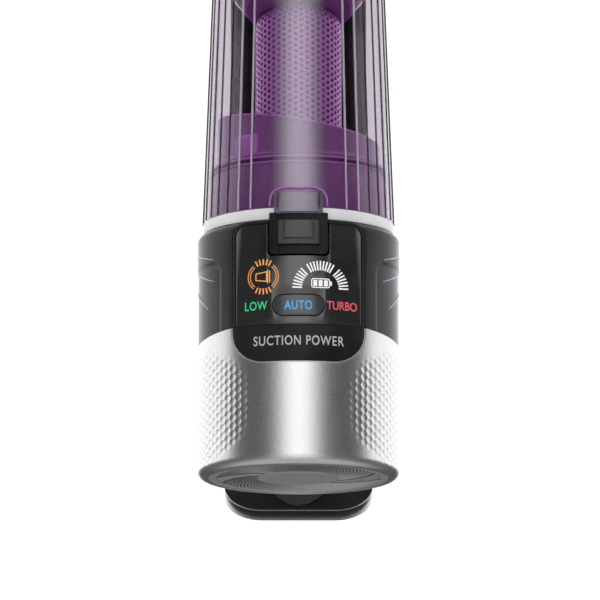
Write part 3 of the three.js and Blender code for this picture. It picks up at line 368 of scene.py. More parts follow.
@dataclass(frozen=True)
class MouldedPlastic(Finish):
    """Moulded plastic, from satin to polished, with the grain of its mould."""

    name: str
    colour: Colour
    roughness: float
    grain: float = 0.0004
    depth: float = 0.000004
    coat: float = 0.0
    shine: float = 0.5

    def build(self, recipe: Recipe) -> Signal:
        """Fine grain, a slow cloud of tone, and patches that are rubbed smoother.

        Args:
            recipe: The material in the making.

        Returns:
            The shader.
        """
        grain = recipe.noise(self.grain, 3)
        cloud = recipe.noise(0.02, 4)
        rubbed = cloud.between(0.45, 0.75)
        tone = recipe.blend(cloud, lighter(self.colour, -0.12), lighter(self.colour, 0.03))
        return recipe.shader(
            Base_Color=tone,
            Roughness=self.roughness * (0.92 + grain * 0.16) - rubbed * (self.roughness * 0.12),
            Specular_IOR_Level=self.shine,
            Coat_Weight=self.coat,
            Coat_Roughness=0.03,
            Normal=recipe.bump(grain, self.depth, 0.6),
        )


@dataclass(frozen=True)
class TintedPlastic(Finish):
    """Dyed translucent plastic, with painted sheen: its deep colour lightens towards the rim colour where
    it is seen edge on.
    """

    name: str
    colour: Colour
    rim: Colour
    roughness: float = 0.22

    def build(self, recipe: Recipe) -> Signal:
        """The rim colour, a painted sheen, comes in at glancing angles.

        Args:
            recipe: The material in the making.

        Returns:
            The shader.
        """
        # Painted sheen: the colour moves to the rim colour where the surface is seen edge on.
        edge = recipe.node("ShaderNodeLayerWeight", inputs={"Blend": 0.35}, output="Facing")
        cloud = recipe.noise(0.006, 3)
        deep = recipe.blend(cloud, lighter(self.colour, -0.1), lighter(self.colour, 0.05))
        return recipe.shader(
            Base_Color=recipe.blend(edge * 0.8, deep, self.rim),
            Roughness=self.roughness + cloud * 0.06,
            Coat_Weight=0.4,
            Coat_Roughness=0.05,
            Normal=recipe.bump(cloud, 0.00002, 0.4),
        )


@dataclass(frozen=True)
class ClearPlastic(Finish):
    """Clear moulded plastic. It mirrors more at glancing angles, and lets the rest through."""

    name: str
    tint: Colour
    # The strength and the half width of a painted reflection: a dull, lighter strip down the window's
    # middle.
    painted_sheen: float = 0.13
    mirror: float = 0.75
    painted_sheen_half_width: Point = (0.0095, 0.0165)

    def build(self, recipe: Recipe) -> Signal:
        """A window with a painted reflection, a dull lighter strip down its middle, under a mirror that is
        shared out by the angle.

        Args:
            recipe: The material in the making.

        Returns:
            The shader.
        """
        streak = recipe.noise(0.004, 3, (1, 1, 0.08))
        slant = recipe.node("ShaderNodeLayerWeight", inputs={"Blend": 0.5}, output="Facing")
        face_on = recipe.node("ShaderNodeBsdfTransparent", inputs={"Color": (*self.tint, 1)})
        deeper = (*lighter(self.tint, -0.12), 1)
        edge_on = recipe.node("ShaderNodeBsdfTransparent", inputs={"Color": deeper})
        window = recipe.node(
            "ShaderNodeMixShader", inputs={0: slant.between(0.18, 0.42), 1: face_on, 2: edge_on}
        )
        # The painted reflection's shader: rough pale metal, laid on the strip.
        painted_reflection = recipe.shader(Base_Color=(0.86, 0.83, 0.9), Metallic=1.0, Roughness=0.34 + streak * 0.08)
        mirror = recipe.shader(
            Base_Color=(0.93, 0.92, 0.95),
            Metallic=1.0,
            Roughness=0.03 + streak * 0.05,
            Normal=recipe.bump(streak, 0.00003, 0.25),
        )
        place = recipe.node("ShaderNodeTexCoord", output="Object")
        across = recipe.node("ShaderNodeSeparateXYZ", inputs={"Vector": place}, output=0)
        aside = (across * across) ** 0.5
        # The strip is fixed across the object's x, so the reflection on it is painted.
        strip = 1.0 - aside.between(*self.painted_sheen_half_width)
        painted_sheen = strip * self.painted_sheen * (0.85 + streak * 0.3)
        sheened_window = recipe.node("ShaderNodeMixShader", inputs={0: painted_sheen, 1: window, 2: painted_reflection})
        # A smooth surface mirrors 4 percent face on, and more by the fifth power of the slant.
        share = (slant**5 * 0.96 + 0.04) * self.mirror
        return recipe.node("ShaderNodeMixShader", inputs={0: share, 1: sheened_window, 2: mirror})


@dataclass(frozen=True)
class Rubber(Finish):
    """Matt rubber with a fine blasted texture."""

    name: str
    colour: Colour = (0.016, 0.016, 0.017)

    def build(self, recipe: Recipe) -> Signal:
        """Dust-grey highs over a dark body."""
        pores = recipe.noise(0.0007, 4)
        return recipe.shader(
            Base_Color=recipe.blend(pores, self.colour, lighter(self.colour, 0.05)),
            Roughness=0.72 + pores * 0.2,
            Normal=recipe.bump(pores, 0.00006, 0.8),
        )


@dataclass(frozen=True)
class BrushedMetal(Finish):
    """Metal with fine lines that run along one axis."""

    name: str
    colour: Colour
    roughness: float = 0.3
    stretch: Triple = (1, 1, 0.01)

    def build(self, recipe: Recipe) -> Signal:
        """The lines change roughness and height."""
        lines = recipe.noise(0.00025, 2, self.stretch)
        return recipe.shader(
            Base_Color=recipe.blend(lines, lighter(self.colour, -0.1), lighter(self.colour, 0.1)),
            Metallic=1.0,
            Roughness=self.roughness - 0.06 + lines * 0.12,
            Normal=recipe.bump(lines, 0.00001, 0.5),
        )


@dataclass(frozen=True)
class FilterCloth(Finish):
    """Pressed filter cloth, with loose fibres."""

    name: str
    colour: Colour

    def build(self, recipe: Recipe) -> Signal:
        """Two sizes of fibre over a soft body.

        Args:
            recipe: The material in the making.

        Returns:
            The shader.
        """
        fibre = recipe.noise(0.0005, 5, (1, 1, 0.3))
        felt = recipe.noise(0.003, 4)
        return recipe.shader(
            Base_Color=recipe.blend(fibre, lighter(self.colour, -0.25), self.colour),
            Roughness=0.95,
            Sheen_Weight=0.3,
            Normal=recipe.bump(fibre * 0.7 + felt * 0.3, 0.0003, 0.8),
        )


@dataclass(frozen=True)
class SolderMask(Finish):
    """A circuit board's green lacquer, with copper tracks that show through it."""

    name: str

    def build(self, recipe: Recipe) -> Signal:
        """Tracks are thin cells of a square Voronoi.

        Args:
            recipe: The material in the making.

        Returns:
            The shader.
        """
        cells = recipe.node(
            "ShaderNodeTexVoronoi",
            {"distance": "MANHATTAN"},
            {"Vector": recipe.place(), "Scale": 260.0},
            output="Distance",
        )
        track = cells.between(0.32, 0.36)
        return recipe.shader(
            Base_Color=recipe.blend(track, (0.01, 0.09, 0.035), (0.05, 0.24, 0.09)),
            Roughness=0.35 + track * 0.15,
            Normal=recipe.bump(track, 0.00003, 0.6),
        )


@dataclass(frozen=True)
class LitPrint(Finish):
    """A printed symbol that is lit from behind through a fine screen."""

    name: str
    colour: Colour
    glow: float = 0.35

    def build(self, recipe: Recipe) -> Signal:
        """The screen's dots make the tone a little uneven.

        Args:
            recipe: The material in the making.

        Returns:
            The shader.
        """
        dots = recipe.noise(0.0003, 2)
        tone = recipe.blend(dots, lighter(self.colour, -0.2), self.colour)
        return recipe.shader(
            Base_Color=tone,
            Roughness=0.4 + dots * 0.1,
            Emission_Color=tone,
            Emission_Strength=self.glow,
        )


class Finishes:
    """The object's finishes, by the record's material slots and a few of its own."""

    silver = Lacquer("silver_lacquer", (0.72, 0.725, 0.73), flake=0.0004, sparkle=0.4)
    cover_grey = Lacquer("cover_grey_lacquer", (0.75, 0.75, 0.76), 0.5, sparkle=0.25)
    trim = MouldedPlastic("trim_white_plastic", (0.86, 0.86, 0.87), 0.3, shine=0.6)
    satin = MouldedPlastic("satin_black_plastic", (0.014, 0.014, 0.015), 0.3)
    shell = MouldedPlastic("control_black_plastic", (0.006, 0.006, 0.0062), 0.22, shine=0.2)
    gloss = MouldedPlastic("gloss_black_plastic", (0.004, 0.004, 0.0045), 0.1, depth=0.000001)
    foot = MouldedPlastic("foot_black_plastic", (0.002, 0.002, 0.002), 0.2, depth=0.000001, shine=0.09)
    bezel = MouldedPlastic("bezel_black_plastic", (0.003, 0.003, 0.003), 0.4, depth=0.000002, shine=0.09)
    pad = MouldedPlastic("latch_pad_plastic", (0.012, 0.012, 0.0125), 0.3, depth=0.000001, shine=0.6)
    lens = MouldedPlastic("display_lens_plastic", (0.008, 0.008, 0.0085), 0.03, depth=0.0000003, coat=0.8)
    key = MouldedPlastic("mode_key_plastic", (0.03, 0.035, 0.043), 0.16, depth=0.000001, coat=0.3)
    # The second colour of each violet is its painted sheen at glancing angles.
    violet = TintedPlastic("violet_plastic", (0.23, 0.05, 0.27), (0.50, 0.15, 0.55))
    # A darker copy of the violet plastic, for painted shade, and a lighter copy, for painted light.
    painted_shade_violet = TintedPlastic("painted_shade_violet_plastic", (0.145, 0.036, 0.165), (0.44, 0.14, 0.50), 0.3)
    painted_light_violet = TintedPlastic("painted_light_violet_plastic", (0.40, 0.085, 0.47), (0.55, 0.17, 0.62), 0.3)
    accent = MouldedPlastic("accent_lilac_paint", (0.44, 0.38, 0.66), 0.3)
    # The bin's clear finish carries a painted reflection strip down its middle.
    clear = ClearPlastic("clear_bin_plastic", (0.95, 0.92, 0.955))
    # The front ribs' finish: a lighter copy of the clear plastic with a strong painted reflection, for
    # painted highlight.
    painted_lit_rib = ClearPlastic("painted_lit_rib_plastic", (0.78, 0.72, 0.80), 0.5, 0.9, (0.05, 0.06))
    # The side ribs' finish: a darker copy of the clear plastic, for painted shade.
    painted_shaded_rib = ClearPlastic("painted_shaded_rib_plastic", (0.32, 0.29, 0.33), 0.03, 0.5, (0.05, 0.06))
    # The hook tab's finish: its painted reflection strip covers the whole tab.
    sheened_hook = ClearPlastic("sheened_hook_plastic", (0.55, 0.47, 0.58), 0.2, 0.6)
    rubber = Rubber("soft_rubber")
    anodised = BrushedMetal("anodised_tube", (0.62, 0.625, 0.64), 0.34)
    steel = BrushedMetal("turned_steel", (0.58, 0.58, 0.6), 0.25, (0.02, 1, 1))
    cloth = FilterCloth("filter_cloth", (0.62, 0.62, 0.58))
    dark_cloth = FilterCloth("dark_filter_cloth", (0.05, 0.05, 0.052))
    bristle = FilterCloth("nylon_bristle", (0.16, 0.06, 0.21))
    board = SolderMask("circuit_board")
    wrap = MouldedPlastic("cell_wrap_film", (0.03, 0.14, 0.38), 0.25, coat=0.4)
    white_print = LitPrint("lit_white_print", (0.85, 0.86, 0.86))
    orange_print = LitPrint("lit_orange_print", (0.85, 0.36, 0.10))
    green_print = LitPrint("lit_green_print", (0.02, 0.62, 0.24))
    blue_print = LitPrint("lit_blue_print", (0.05, 0.38, 0.80))
    red_print = LitPrint("lit_red_print", (0.72, 0.09, 0.13))
    # The label on the frame has no light behind it: its small glow is painted light.
    painted_glow_label = LitPrint("painted_glow_label_print", (0.50, 0.51, 0.51), 0.1)


# ---------------------------------------------------------------- mesh tools


TAPERED_END = 0.35


def radial_place(radius: float, turn: float) -> Point:
    """The x and y of a place at a radius, turned from the front towards +X."""
    return radius * math.sin(turn), -radius * math.cos(turn)


def spin_profile(points: Sequence[Point], steps: int) -> bmesh.types.BMesh:
    """Spins a profile of (radius, station) points right round the Z axis.

    Args:
        points: The profile. It closes on itself unless both its ends are on the axis.
        steps: How many steps a turn has.

    Returns:
        The closed mesh, with its stations running down from the origin.
    """
    bm = bmesh.new()
    verts = [bm.verts.new((radius, 0, -station)) for radius, station in points]
    follow = verts[1:] if points[0][0] == 0 == points[-1][0] else verts[1:] + verts[:1]
    edges = [bm.edges.new(pair) for pair in zip(verts, follow)]
    bmesh.ops.spin(
        bm, geom=verts + edges, cent=(0, 0, 0), axis=(0, 0, 1), angle=FULL_TURN, steps=steps, use_merge=True
    )
    bmesh.ops.remove_doubles(bm, verts=bm.verts, dist=HAIR)
    bmesh.ops.recalc_face_normals(bm, faces=bm.faces)
    return bm


def band_profile(inner: float, outer: float, near: float, far: float) -> list[Point]:
    """The profile of a flat ring, between two radii and two stations."""
    return [(inner, near), (outer, near), (outer, far), (inner, far)]


def arc(centre: Point, radius: float, start: float, end: float, steps: int = 6) -> list[Point]:
    """Points along an arc.

    Args:
        centre: The arc's centre.
        radius: Its radius.
        start: The first angle, in degrees.
        end: The last angle, in degrees.
        steps: How many steps it has.

    Returns:
        The points, both ends with them.
    """
    angles = [math.radians(start + (end - start) * i / steps) for i in range(steps + 1)]
    return [(centre[0] + radius * math.cos(a), centre[1] + radius * math.sin(a)) for a in angles]


def rounded_outline(
    half: float, near: float, far: float, near_corner: float, far_corner: float
) -> list[Point]:
    """A rectangle between two stations with round corners.

    Args:
        half: Half its width.
        near: Its first station.
        far: Its last station.
        near_corner: The radius of its two corners at the first station.
        far_corner: The radius of its two corners at the last station.

    Returns:
        Its (x, station) points.
    """
    steps = 10
    return [
        *arc((half - near_corner, near + near_corner), near_corner, 0, -90, steps),
        *arc((near_corner - half, near + near_corner), near_corner, -90, -180, steps),
        *arc((far_corner - half, far - far_corner), far_corner, 180, 90, steps),
        *arc((half - far_corner, far - far_corner), far_corner, 90, 0, steps),
    ]


def pill_outline(length: float, height: float, station: float, grow: float = 0.0) -> list[Point]:
    """An oval with straight long sides.

    Args:
        length: Its length, across the barrel.
        height: Its height, along the barrel.
        station: Its middle's station.
        grow: How far it is grown all round.

    Returns:
        Its (x, station) points.
    """
    radius = height / 2
    reach = length / 2 - radius
    steps = 16
    return [
        *arc((reach, station), radius + grow, 90, -90, steps),
        *arc((-reach, station), radius + grow, -90, -270, steps),
    ]


def flat_slab(outline: Sequence[Point], thickness: float, raise_by: float = 0.0) -> bmesh.types.BMesh:
    """An outline in the X-Z plane as a slab that grows towards -Y.

    Args:
        outline: The (x, station) points.
        thickness: How far it grows.
        raise_by: How far it starts from the plane.

    Returns:
        The closed slab.
    """
    bm = bmesh.new()
    face = bm.faces.new([bm.verts.new((x, -raise_by, -station)) for x, station in outline])
    grown = bmesh.ops.extrude_face_region(bm, geom=[face])
    moved = [v for v in grown["geom"] if isinstance(v, bmesh.types.BMVert)]
    bmesh.ops.translate(bm, verts=moved, vec=(0, -thickness, 0))
    bmesh.ops.recalc_face_normals(bm, faces=bm.faces)
    return bm


def wrap_on_barrel(bm: bmesh.types.BMesh, base: float, pitch: float = 0.0012) -> bmesh.types.BMesh:
    """Bends a slab onto a barrel, keeping its x.

    Args:
        bm: The slab, in the X-Z plane.
        base: The radius that its plane comes to lie on.
        pitch: How finely it is sliced first.

    Returns:
        The same mesh.
    """
    xs = [v.co.x for v in bm.verts]
    x = math.ceil(min(xs) / pitch) * pitch
    while x < max(xs):
        everything = [*bm.verts, *bm.edges, *bm.faces]
        bmesh.ops.bisect_plane(bm, geom=everything, dist=HAIR, plane_co=(x, 0, 0), plane_no=(1, 0, 0))
        x += pitch
    for vert in bm.verts:
        radius = base - vert.co.y
        vert.co.y = -math.sqrt(max(radius**2 - vert.co.x**2, 0))
    return bm


def sharp_edges(bm: bmesh.types.BMesh, degrees: float = 35) -> list[bmesh.types.BMEdge]:
    """The edges whose faces meet at more than an angle."""
    limit = math.radians(degrees)
    return [e for e in bm.edges if len(e.link_faces) == 2 and e.calc_face_angle(0) > limit]


def soften(
    bm: bmesh.types.BMesh, width: float, segments: int = 2, degrees: float = 35
) -> bmesh.types.BMesh:
    """Rounds off a mesh's sharp edges.

    Args:
        bm: The mesh.
        width: How far the rounding reaches from an edge.
        segments: How many facets it has.
        degrees: The least angle of a sharp edge.

    Returns:
        The same mesh.
    """
    edges = sharp_edges(bm, degrees)
    if edges:
        bmesh.ops.bevel(
            bm,
            geom=edges,
            offset=width,
            offset_type="OFFSET",
            segments=segments,
            profile=0.5,
            affect="EDGES",
            clamp_overlap=True,
            material=-1,
        )
    return bm


def make_object(name: str, bm: bmesh.types.BMesh, smooth: float = 40) -> bpy.types.Object:
    """Turns a mesh into an object in the scene, smooth but for edges over an angle.

    Args:
        name: The object's name.
        bm: The mesh, which is freed.
        smooth: The angle in degrees.

    Returns:
        The object.
    """
    mesh = bpy.data.meshes.new(name)
    bm.to_mesh(mesh)
    bm.free()
    mesh.shade_smooth()
    mesh.set_sharp_from_angle(angle=math.radians(smooth))
    made = bpy.data.objects.new(name, mesh)
    bpy.context.scene.collection.objects.link(made)
    return made


def apply_modifiers(piece: bpy.types.Object) -> None:
    """Replaces a piece's mesh by what its modifiers make of it."""
    graph = bpy.context.evaluated_depsgraph_get()
    mesh = bpy.data.meshes.new_from_object(piece.evaluated_get(graph))
    old = piece.data
    piece.modifiers.clear()
    piece.data = mesh
    bpy.data.meshes.remove(old)


def carve(bm: bmesh.types.BMesh, *cutters: bmesh.types.BMesh) -> bmesh.types.BMesh:
    """Cuts others away from a mesh.

    Args:
        bm: The mesh to cut, which is freed.
        cutters: The closed meshes that cut it, which are freed.

    Returns:
        The cut mesh.
    """
    body = make_object("carved", bm)
    tools = [make_object("cutter", cutter) for cutter in cutters]
    for tool in tools:
        modifier = body.modifiers.new("carve", "BOOLEAN")
        modifier.operation = "DIFFERENCE"
        modifier.object = tool
        modifier.solver = "EXACT"
    apply_modifiers(body)
    result = bmesh.new()
    result.from_mesh(body.data)
    for done in [body, *tools]:
        bpy.data.objects.remove(done)
    return result


def box_mesh(low: Sequence[float], high: Sequence[float]) -> bmesh.types.BMesh:
    """A box between two corners."""
    bm = bmesh.new()
    size = [b - a for a, b in zip(low, high)]
    middle = [(a + b) / 2 for a, b in zip(low, high)]
    bmesh.ops.create_cube(bm, size=1, matrix=Matrix.Translation(middle) @ Matrix.Diagonal((*size, 1)))
    return bm


def merged(*meshes: bmesh.types.BMesh) -> bmesh.types.BMesh:
    """Several meshes in one, each still its own closed shell.

    Returns:
        The mesh.
    """
    result = bmesh.new()
    for part in meshes:
        held = bpy.data.meshes.new("part")
        part.to_mesh(held)
        part.free()
        result.from_mesh(held)
        bpy.data.meshes.remove(held)
    return result


def curve_to_mesh(curve: bpy.types.Curve) -> bmesh.types.BMesh:
    """The mesh that a curve or a text makes.

    Args:
        curve: The curve or the text.

    Returns:
        The mesh.
    """
    holder = bpy.data.objects.new("curve", curve)
    bpy.context.scene.collection.objects.link(holder)
    graph = bpy.context.evaluated_depsgraph_get()
    mesh = bpy.data.meshes.new_from_object(holder.evaluated_get(graph))
    bm = bmesh.new()
    bm.from_mesh(mesh)
    bmesh.ops.remove_doubles(bm, verts=bm.verts, dist=HAIR / 10)
    bpy.data.objects.remove(holder)
    bpy.data.meshes.remove(mesh)
    return bm


def wire(points: Sequence[Vector], radius: float, taper: bool = True) -> bmesh.types.BMesh:
    """A round bar along a smooth line.

    Args:
        points: The points that the line goes through.
        radius: The bar's radius.
        taper: Whether it is thinner at its ends.

    Returns:
        The closed mesh.
    """
    curve = bpy.data.curves.new("wire", "CURVE")
    curve.dimensions = "3D"
    curve.bevel_depth = radius
    curve.bevel_resolution = 3
    curve.use_fill_caps = True
    curve.resolution_u = 8
    spline = curve.splines.new("BEZIER")
    spline.bezier_points.add(len(points) - 1)
    for i, (knot, point) in enumerate(zip(spline.bezier_points, points)):
        knot.co = point
        knot.handle_left_type = knot.handle_right_type = "AUTO"
        at_end = i in (0, len(points) - 1)
        knot.radius = TAPERED_END if taper and at_end else 1.0
    return curve_to_mesh(curve)


@dataclass(frozen=True)
class Piece:
    """One finished piece: its mesh, finish, body, slot and the CAD nodes that it stands for."""

    name: str
    mesh: bmesh.types.BMesh
    finish: Finish
    body: str
    slot: str
    replaces: tuple[str, ...] = ()
    smooth: float = 40

    def fit(self) -> bpy.types.Object:
        """Makes the object and ties it to the frame.

        Returns:
            The object.
        """
        made = make_object(self.name, self.mesh, self.smooth)
        made.data.materials.clear()
        made.data.materials.append(self.finish.material())
        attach(made, self.body)
        if self.replaces:
            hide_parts(*self.replaces)
        LOG.info("%s: %d faces on %s", self.name, len(made.data.polygons), self.body)
        return made


# ---------------------------------------------------------------- silver motor barrel


class Side(enum.Enum):
    """A side of the seam between the two shells."""

    OUTER_END = 1
    BIN = -1


@dataclass(frozen=True)
class Seam:
    """The slanted seam between the silver and the black shell."""

    station: float = 0.064
    tilt: float = math.radians(7.1)
    overlap: float = 0.0075
    reach: float = 0.2

    def cutter(self, side: Side, offset: float = 0.0) -> bmesh.types.BMesh:
        """Everything on one side of the seam.

        Args:
            side: The side that is cut away.
            offset: How far the plane is moved towards the bin.

        Returns:
            A large box.
        """
        reach = self.reach
        bm = box_mesh((-reach, -reach, 0), (reach, reach, reach))
        if side is Side.BIN:
            bmesh.ops.translate(bm, verts=bm.verts, vec=(0, 0, -reach))
        bmesh.ops.translate(bm, verts=bm.verts, vec=(0, 0, -offset))
        bmesh.ops.rotate(bm, verts=bm.verts, cent=(0, 0, 0), matrix=Matrix.Rotation(self.tilt, 3, "X"))
        bmesh.ops.translate(bm, verts=bm.verts, vec=(0, 0, -self.station))
        return bm


SEAM = Seam()


@dataclass(frozen=True)
class DisplaySize:
    """The display's outline and its parts' places along the barrel."""

    half_width: float
    start: float
    end: float
    lens_start: float
    near_corner: float = 0.0155
    far_corner: float = 0.0065
    rim: float = 0.0015
    lip: float = 0.0009

    @classmethod
    def from_frame(cls) -> "DisplaySize":
        """Reads the sizes from the CAD pieces' boxes."""
        low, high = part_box("display_bezel")
        start, end = BARREL.span("display_bezel")
        return cls((high.x - low.x) / 2, start, end, BARREL.span("display_lens")[0] - 0.0003)

    def outline(self, grow: float = 0.0) -> list[Point]:
        """The whole display's outline."""
        return rounded_outline(
            self.half_width + grow,
            self.start - grow,
            self.end + grow,
            self.near_corner + grow,
            self.far_corner + grow,
        )

    def lens_outline(self, shrink: float = 0.0) -> list[Point]:
        """The lens's outline, which is square at the label and round at the bin."""
        return rounded_outline(
            self.half_width - self.rim - shrink,
            self.lens_start + shrink,
            self.end - self.rim - shrink,
            0.0012,
            self.far_corner - self.rim,
        )


DISPLAY = DisplaySize.from_frame()


@dataclass(frozen=True)
class MotorBarrel:
    """The silver shell with its dimpled grip, and the exhaust cover in its end."""

    wall: float = 0.0024
    rounding: float = 0.0046
    mouth: float = 0.0449
    row: float = 0.00058
    steps: int = 600
    dimple_columns: int = 90
    dimple_depth: float = 0.00026
    dimple_share: float = 0.44
    zone_middle: float = 0.031
    zone_half_length: float = 0.029
    zone_half_angle: float = math.radians(61)
    zone_edge: float = 1.15
    zone_fade: float = 0.3
    lip_thickness: float = 0.0022
    slots: int = 84
    sweep: float = math.radians(40)
    fin_outer: float = 0.0405
    fin_inner: float = 0.0206
    cover_top: float = 0.0004
    cover_thickness: float = 0.0024
    fin_depth: float = 0.002
    fin_lean: float = 0.0002
    ring_radius: float = 0.0304
    ring_half_width: float = 0.0006
    bridges: Point = (math.radians(80), math.radians(260))
    bridge_half_angle: float = math.radians(13)

    def _dimple(self, angle: float, station: float) -> float:
        """How deep the dimples are at a place, from 0 to 1.

        Args:
            angle: The angle from the front, in radians.
            station: The station.

        Returns:
            The share of the full depth.
        """
        column_pitch = FULL_TURN / self.dimple_columns
        row_pitch = column_pitch * BARREL.radius / math.cos(math.radians(30))
        zone = (
            (abs(abs(angle) - math.pi / 2) / self.zone_half_angle) ** 2.5
            + (abs(station - self.zone_middle) / self.zone_half_length) ** 2.5
        )
        if zone > self.zone_edge:
            return 0.0
        fade = min(max((self.zone_edge - zone) / self.zone_fade, 0), 1)
        best = 1.0
        nearest = round(angle / column_pitch)
        for column in (nearest - 1, nearest, nearest + 1):
            shift = row_pitch / 2 if column % 2 else 0.0
            row = round((station - shift) / row_pitch)
            across = (angle - column * column_pitch) * BARREL.radius
            along = station - shift - row * row_pitch
            best = min(best, math.hypot(across, along) / (row_pitch * self.dimple_share))
        return fade * max(0.0, 1 - best**3)

    def shell(self) -> Piece:
        """The silver shell, cut at the seam and for the display.

        Returns:
            The finished piece.
        """
        radius = BARREL.radius
        inner = radius - self.wall
        far = SEAM.station + SEAM.overlap
        rows = int((far - self.rounding) / self.row)
        side = [(radius, self.rounding + (far - self.rounding) * i / rows) for i in range(rows, 0, -1)]
        corner = arc((radius - self.rounding, self.rounding), self.rounding, 0, -90, 8)
        profile = [*side, *corner, (self.mouth, 0.0), (self.mouth, 0.0045), (inner, 0.008), (inner, far)]
        bm = spin_profile(profile, self.steps)
        for vert in bm.verts:
            x, y, z = vert.co
            if abs(math.hypot(x, y) - radius) < HAIR:
                sink = self.dimple_depth * self._dimple(math.atan2(x, -y), -z)
                vert.co = (x * (1 - sink / radius), y * (1 - sink / radius), z)
        window = flat_slab(DISPLAY.outline(DISPLAY.lip), 0.04, 0.02)
        bm = BARREL.place(carve(bm, SEAM.cutter(Side.BIN), window))
        return Piece("motor_shell", bm, Finishes.silver, "body", "silver", ("motor_housing",), 30)

    def lip(self) -> Piece:
        """The thin grey edge round the display's label, sunk into the silver.

        Returns:
            The finished piece.
        """
        whole = flat_slab(DISPLAY.outline(DISPLAY.lip), self.lip_thickness)
        ring = carve(whole, flat_slab(DISPLAY.outline(0.0001), 0.01, -0.002))
        bm = wrap_on_barrel(ring, BARREL.radius - 0.0024)
        bm = carve(bm, SEAM.cutter(Side.BIN, -0.0001))
        return Piece("label_edge", BARREL.place(bm), Finishes.cover_grey, "body", "silver")

    def cover(self) -> list[Piece]:
        """The flat cover and the dark cloth under its fins.

        Returns:
            The finished pieces.
        """
        bm = merged(*self._rings(), *self._fins(), *[self._bridge(middle) for middle in self.bridges])
        near, far = self.cover_top + 0.0003, self.cover_top + 0.0016
        screen = spin_profile(band_profile(self.fin_inner, self.fin_outer, near, far), 96)
        grille = BARREL.place(bm)
        return [
            Piece("exhaust_grille", grille, Finishes.cover_grey, "body", "silver", ("exhaust_cover",), 45),
            Piece("exhaust_screen", BARREL.place(screen), Finishes.dark_cloth, "body", "silver"),
        ]

    def _rings(self) -> list[bmesh.types.BMesh]:
        """The cover's rim, its middle disc, and the ring that its fins cross.

        Returns:
            The meshes.
        """
        top, bottom = self.cover_top, self.cover_top + self.cover_thickness
        rim = spin_profile(band_profile(self.fin_outer, self.mouth - 0.0003, top, bottom), 160)
        inner = self.fin_inner
        face = [(0, top), (inner - 0.004, top), (inner, top + 0.0003), (inner, bottom), (0, bottom)]
        disc = spin_profile(face, 96)
        low, high = self.ring_radius - self.ring_half_width, self.ring_radius + self.ring_half_width
        ring = spin_profile(band_profile(low, high, top + 0.0006, bottom), 120)
        return [soften(rim, 0.0003), soften(disc, 0.0002), ring]

    def _sweep_strip(
        self, start: float, overrun: float, drop: float, half_widths: Point
    ) -> bmesh.types.BMesh:
        """A strip that turns as it goes out, from the disc to the rim.

        Args:
            start: The angle it starts at.
            overrun: How far it runs into the disc and the rim.
            drop: How far it lies under the cover's face.
            half_widths: Half its width at its inner and at its outer end.

        Returns:
            The closed strip.
        """
        inner, outer = self.fin_inner - overrun, self.fin_outer + overrun
        top = self.cover_top + drop
        strip = box_mesh((0, -1, 0), (1, 1, 1))
        along = [e for e in strip.edges if abs(e.verts[0].co.x - e.verts[1].co.x) > 0.5]
        bmesh.ops.subdivide_edges(strip, edges=along, cuts=9)
        for vert in strip.verts:
            share, side, height = vert.co
            radius = inner + (outer - inner) * share
            half = half_widths[0] + (half_widths[1] - half_widths[0]) * share
            turn = start + self.sweep * share + side * half / radius
            lean = self.fin_lean if side > 0 else 0.0
            deep = self.fin_depth * (1 - height) / 2
            vert.co = (*radial_place(radius, turn), -top - lean - deep)
        bmesh.ops.recalc_face_normals(strip, faces=strip.faces)
        return strip

    def _fins(self) -> list[bmesh.types.BMesh]:
        """The curved fins, left out where the bridges are.

        Returns:
            The meshes.
        """
        fins = []
        limit = math.cos(self.bridge_half_angle)
        for i in range(self.slots):
            start = FULL_TURN * i / self.slots
            middle = start + self.sweep / 2
            if all(math.cos(middle - bridge) <= limit for bridge in self.bridges):
                fins.append(self._sweep_strip(start, 0.0002, 0.0001, (0.00038, 0.00068)))
        return fins

    def _bridge(self, middle: float) -> bmesh.types.BMesh:
        """One smooth bridge across the fins."""
        return soften(self._sweep_strip(middle - self.sweep / 2, 0.0, 0.0, (0.0006, 0.0068)), 0.0003)

    def pieces(self) -> list[Piece]:
        """All of the barrel's silver pieces."""
        return [self.shell(), self.lip(), *self.cover()]


# ---------------------------------------------------------------- black control housing


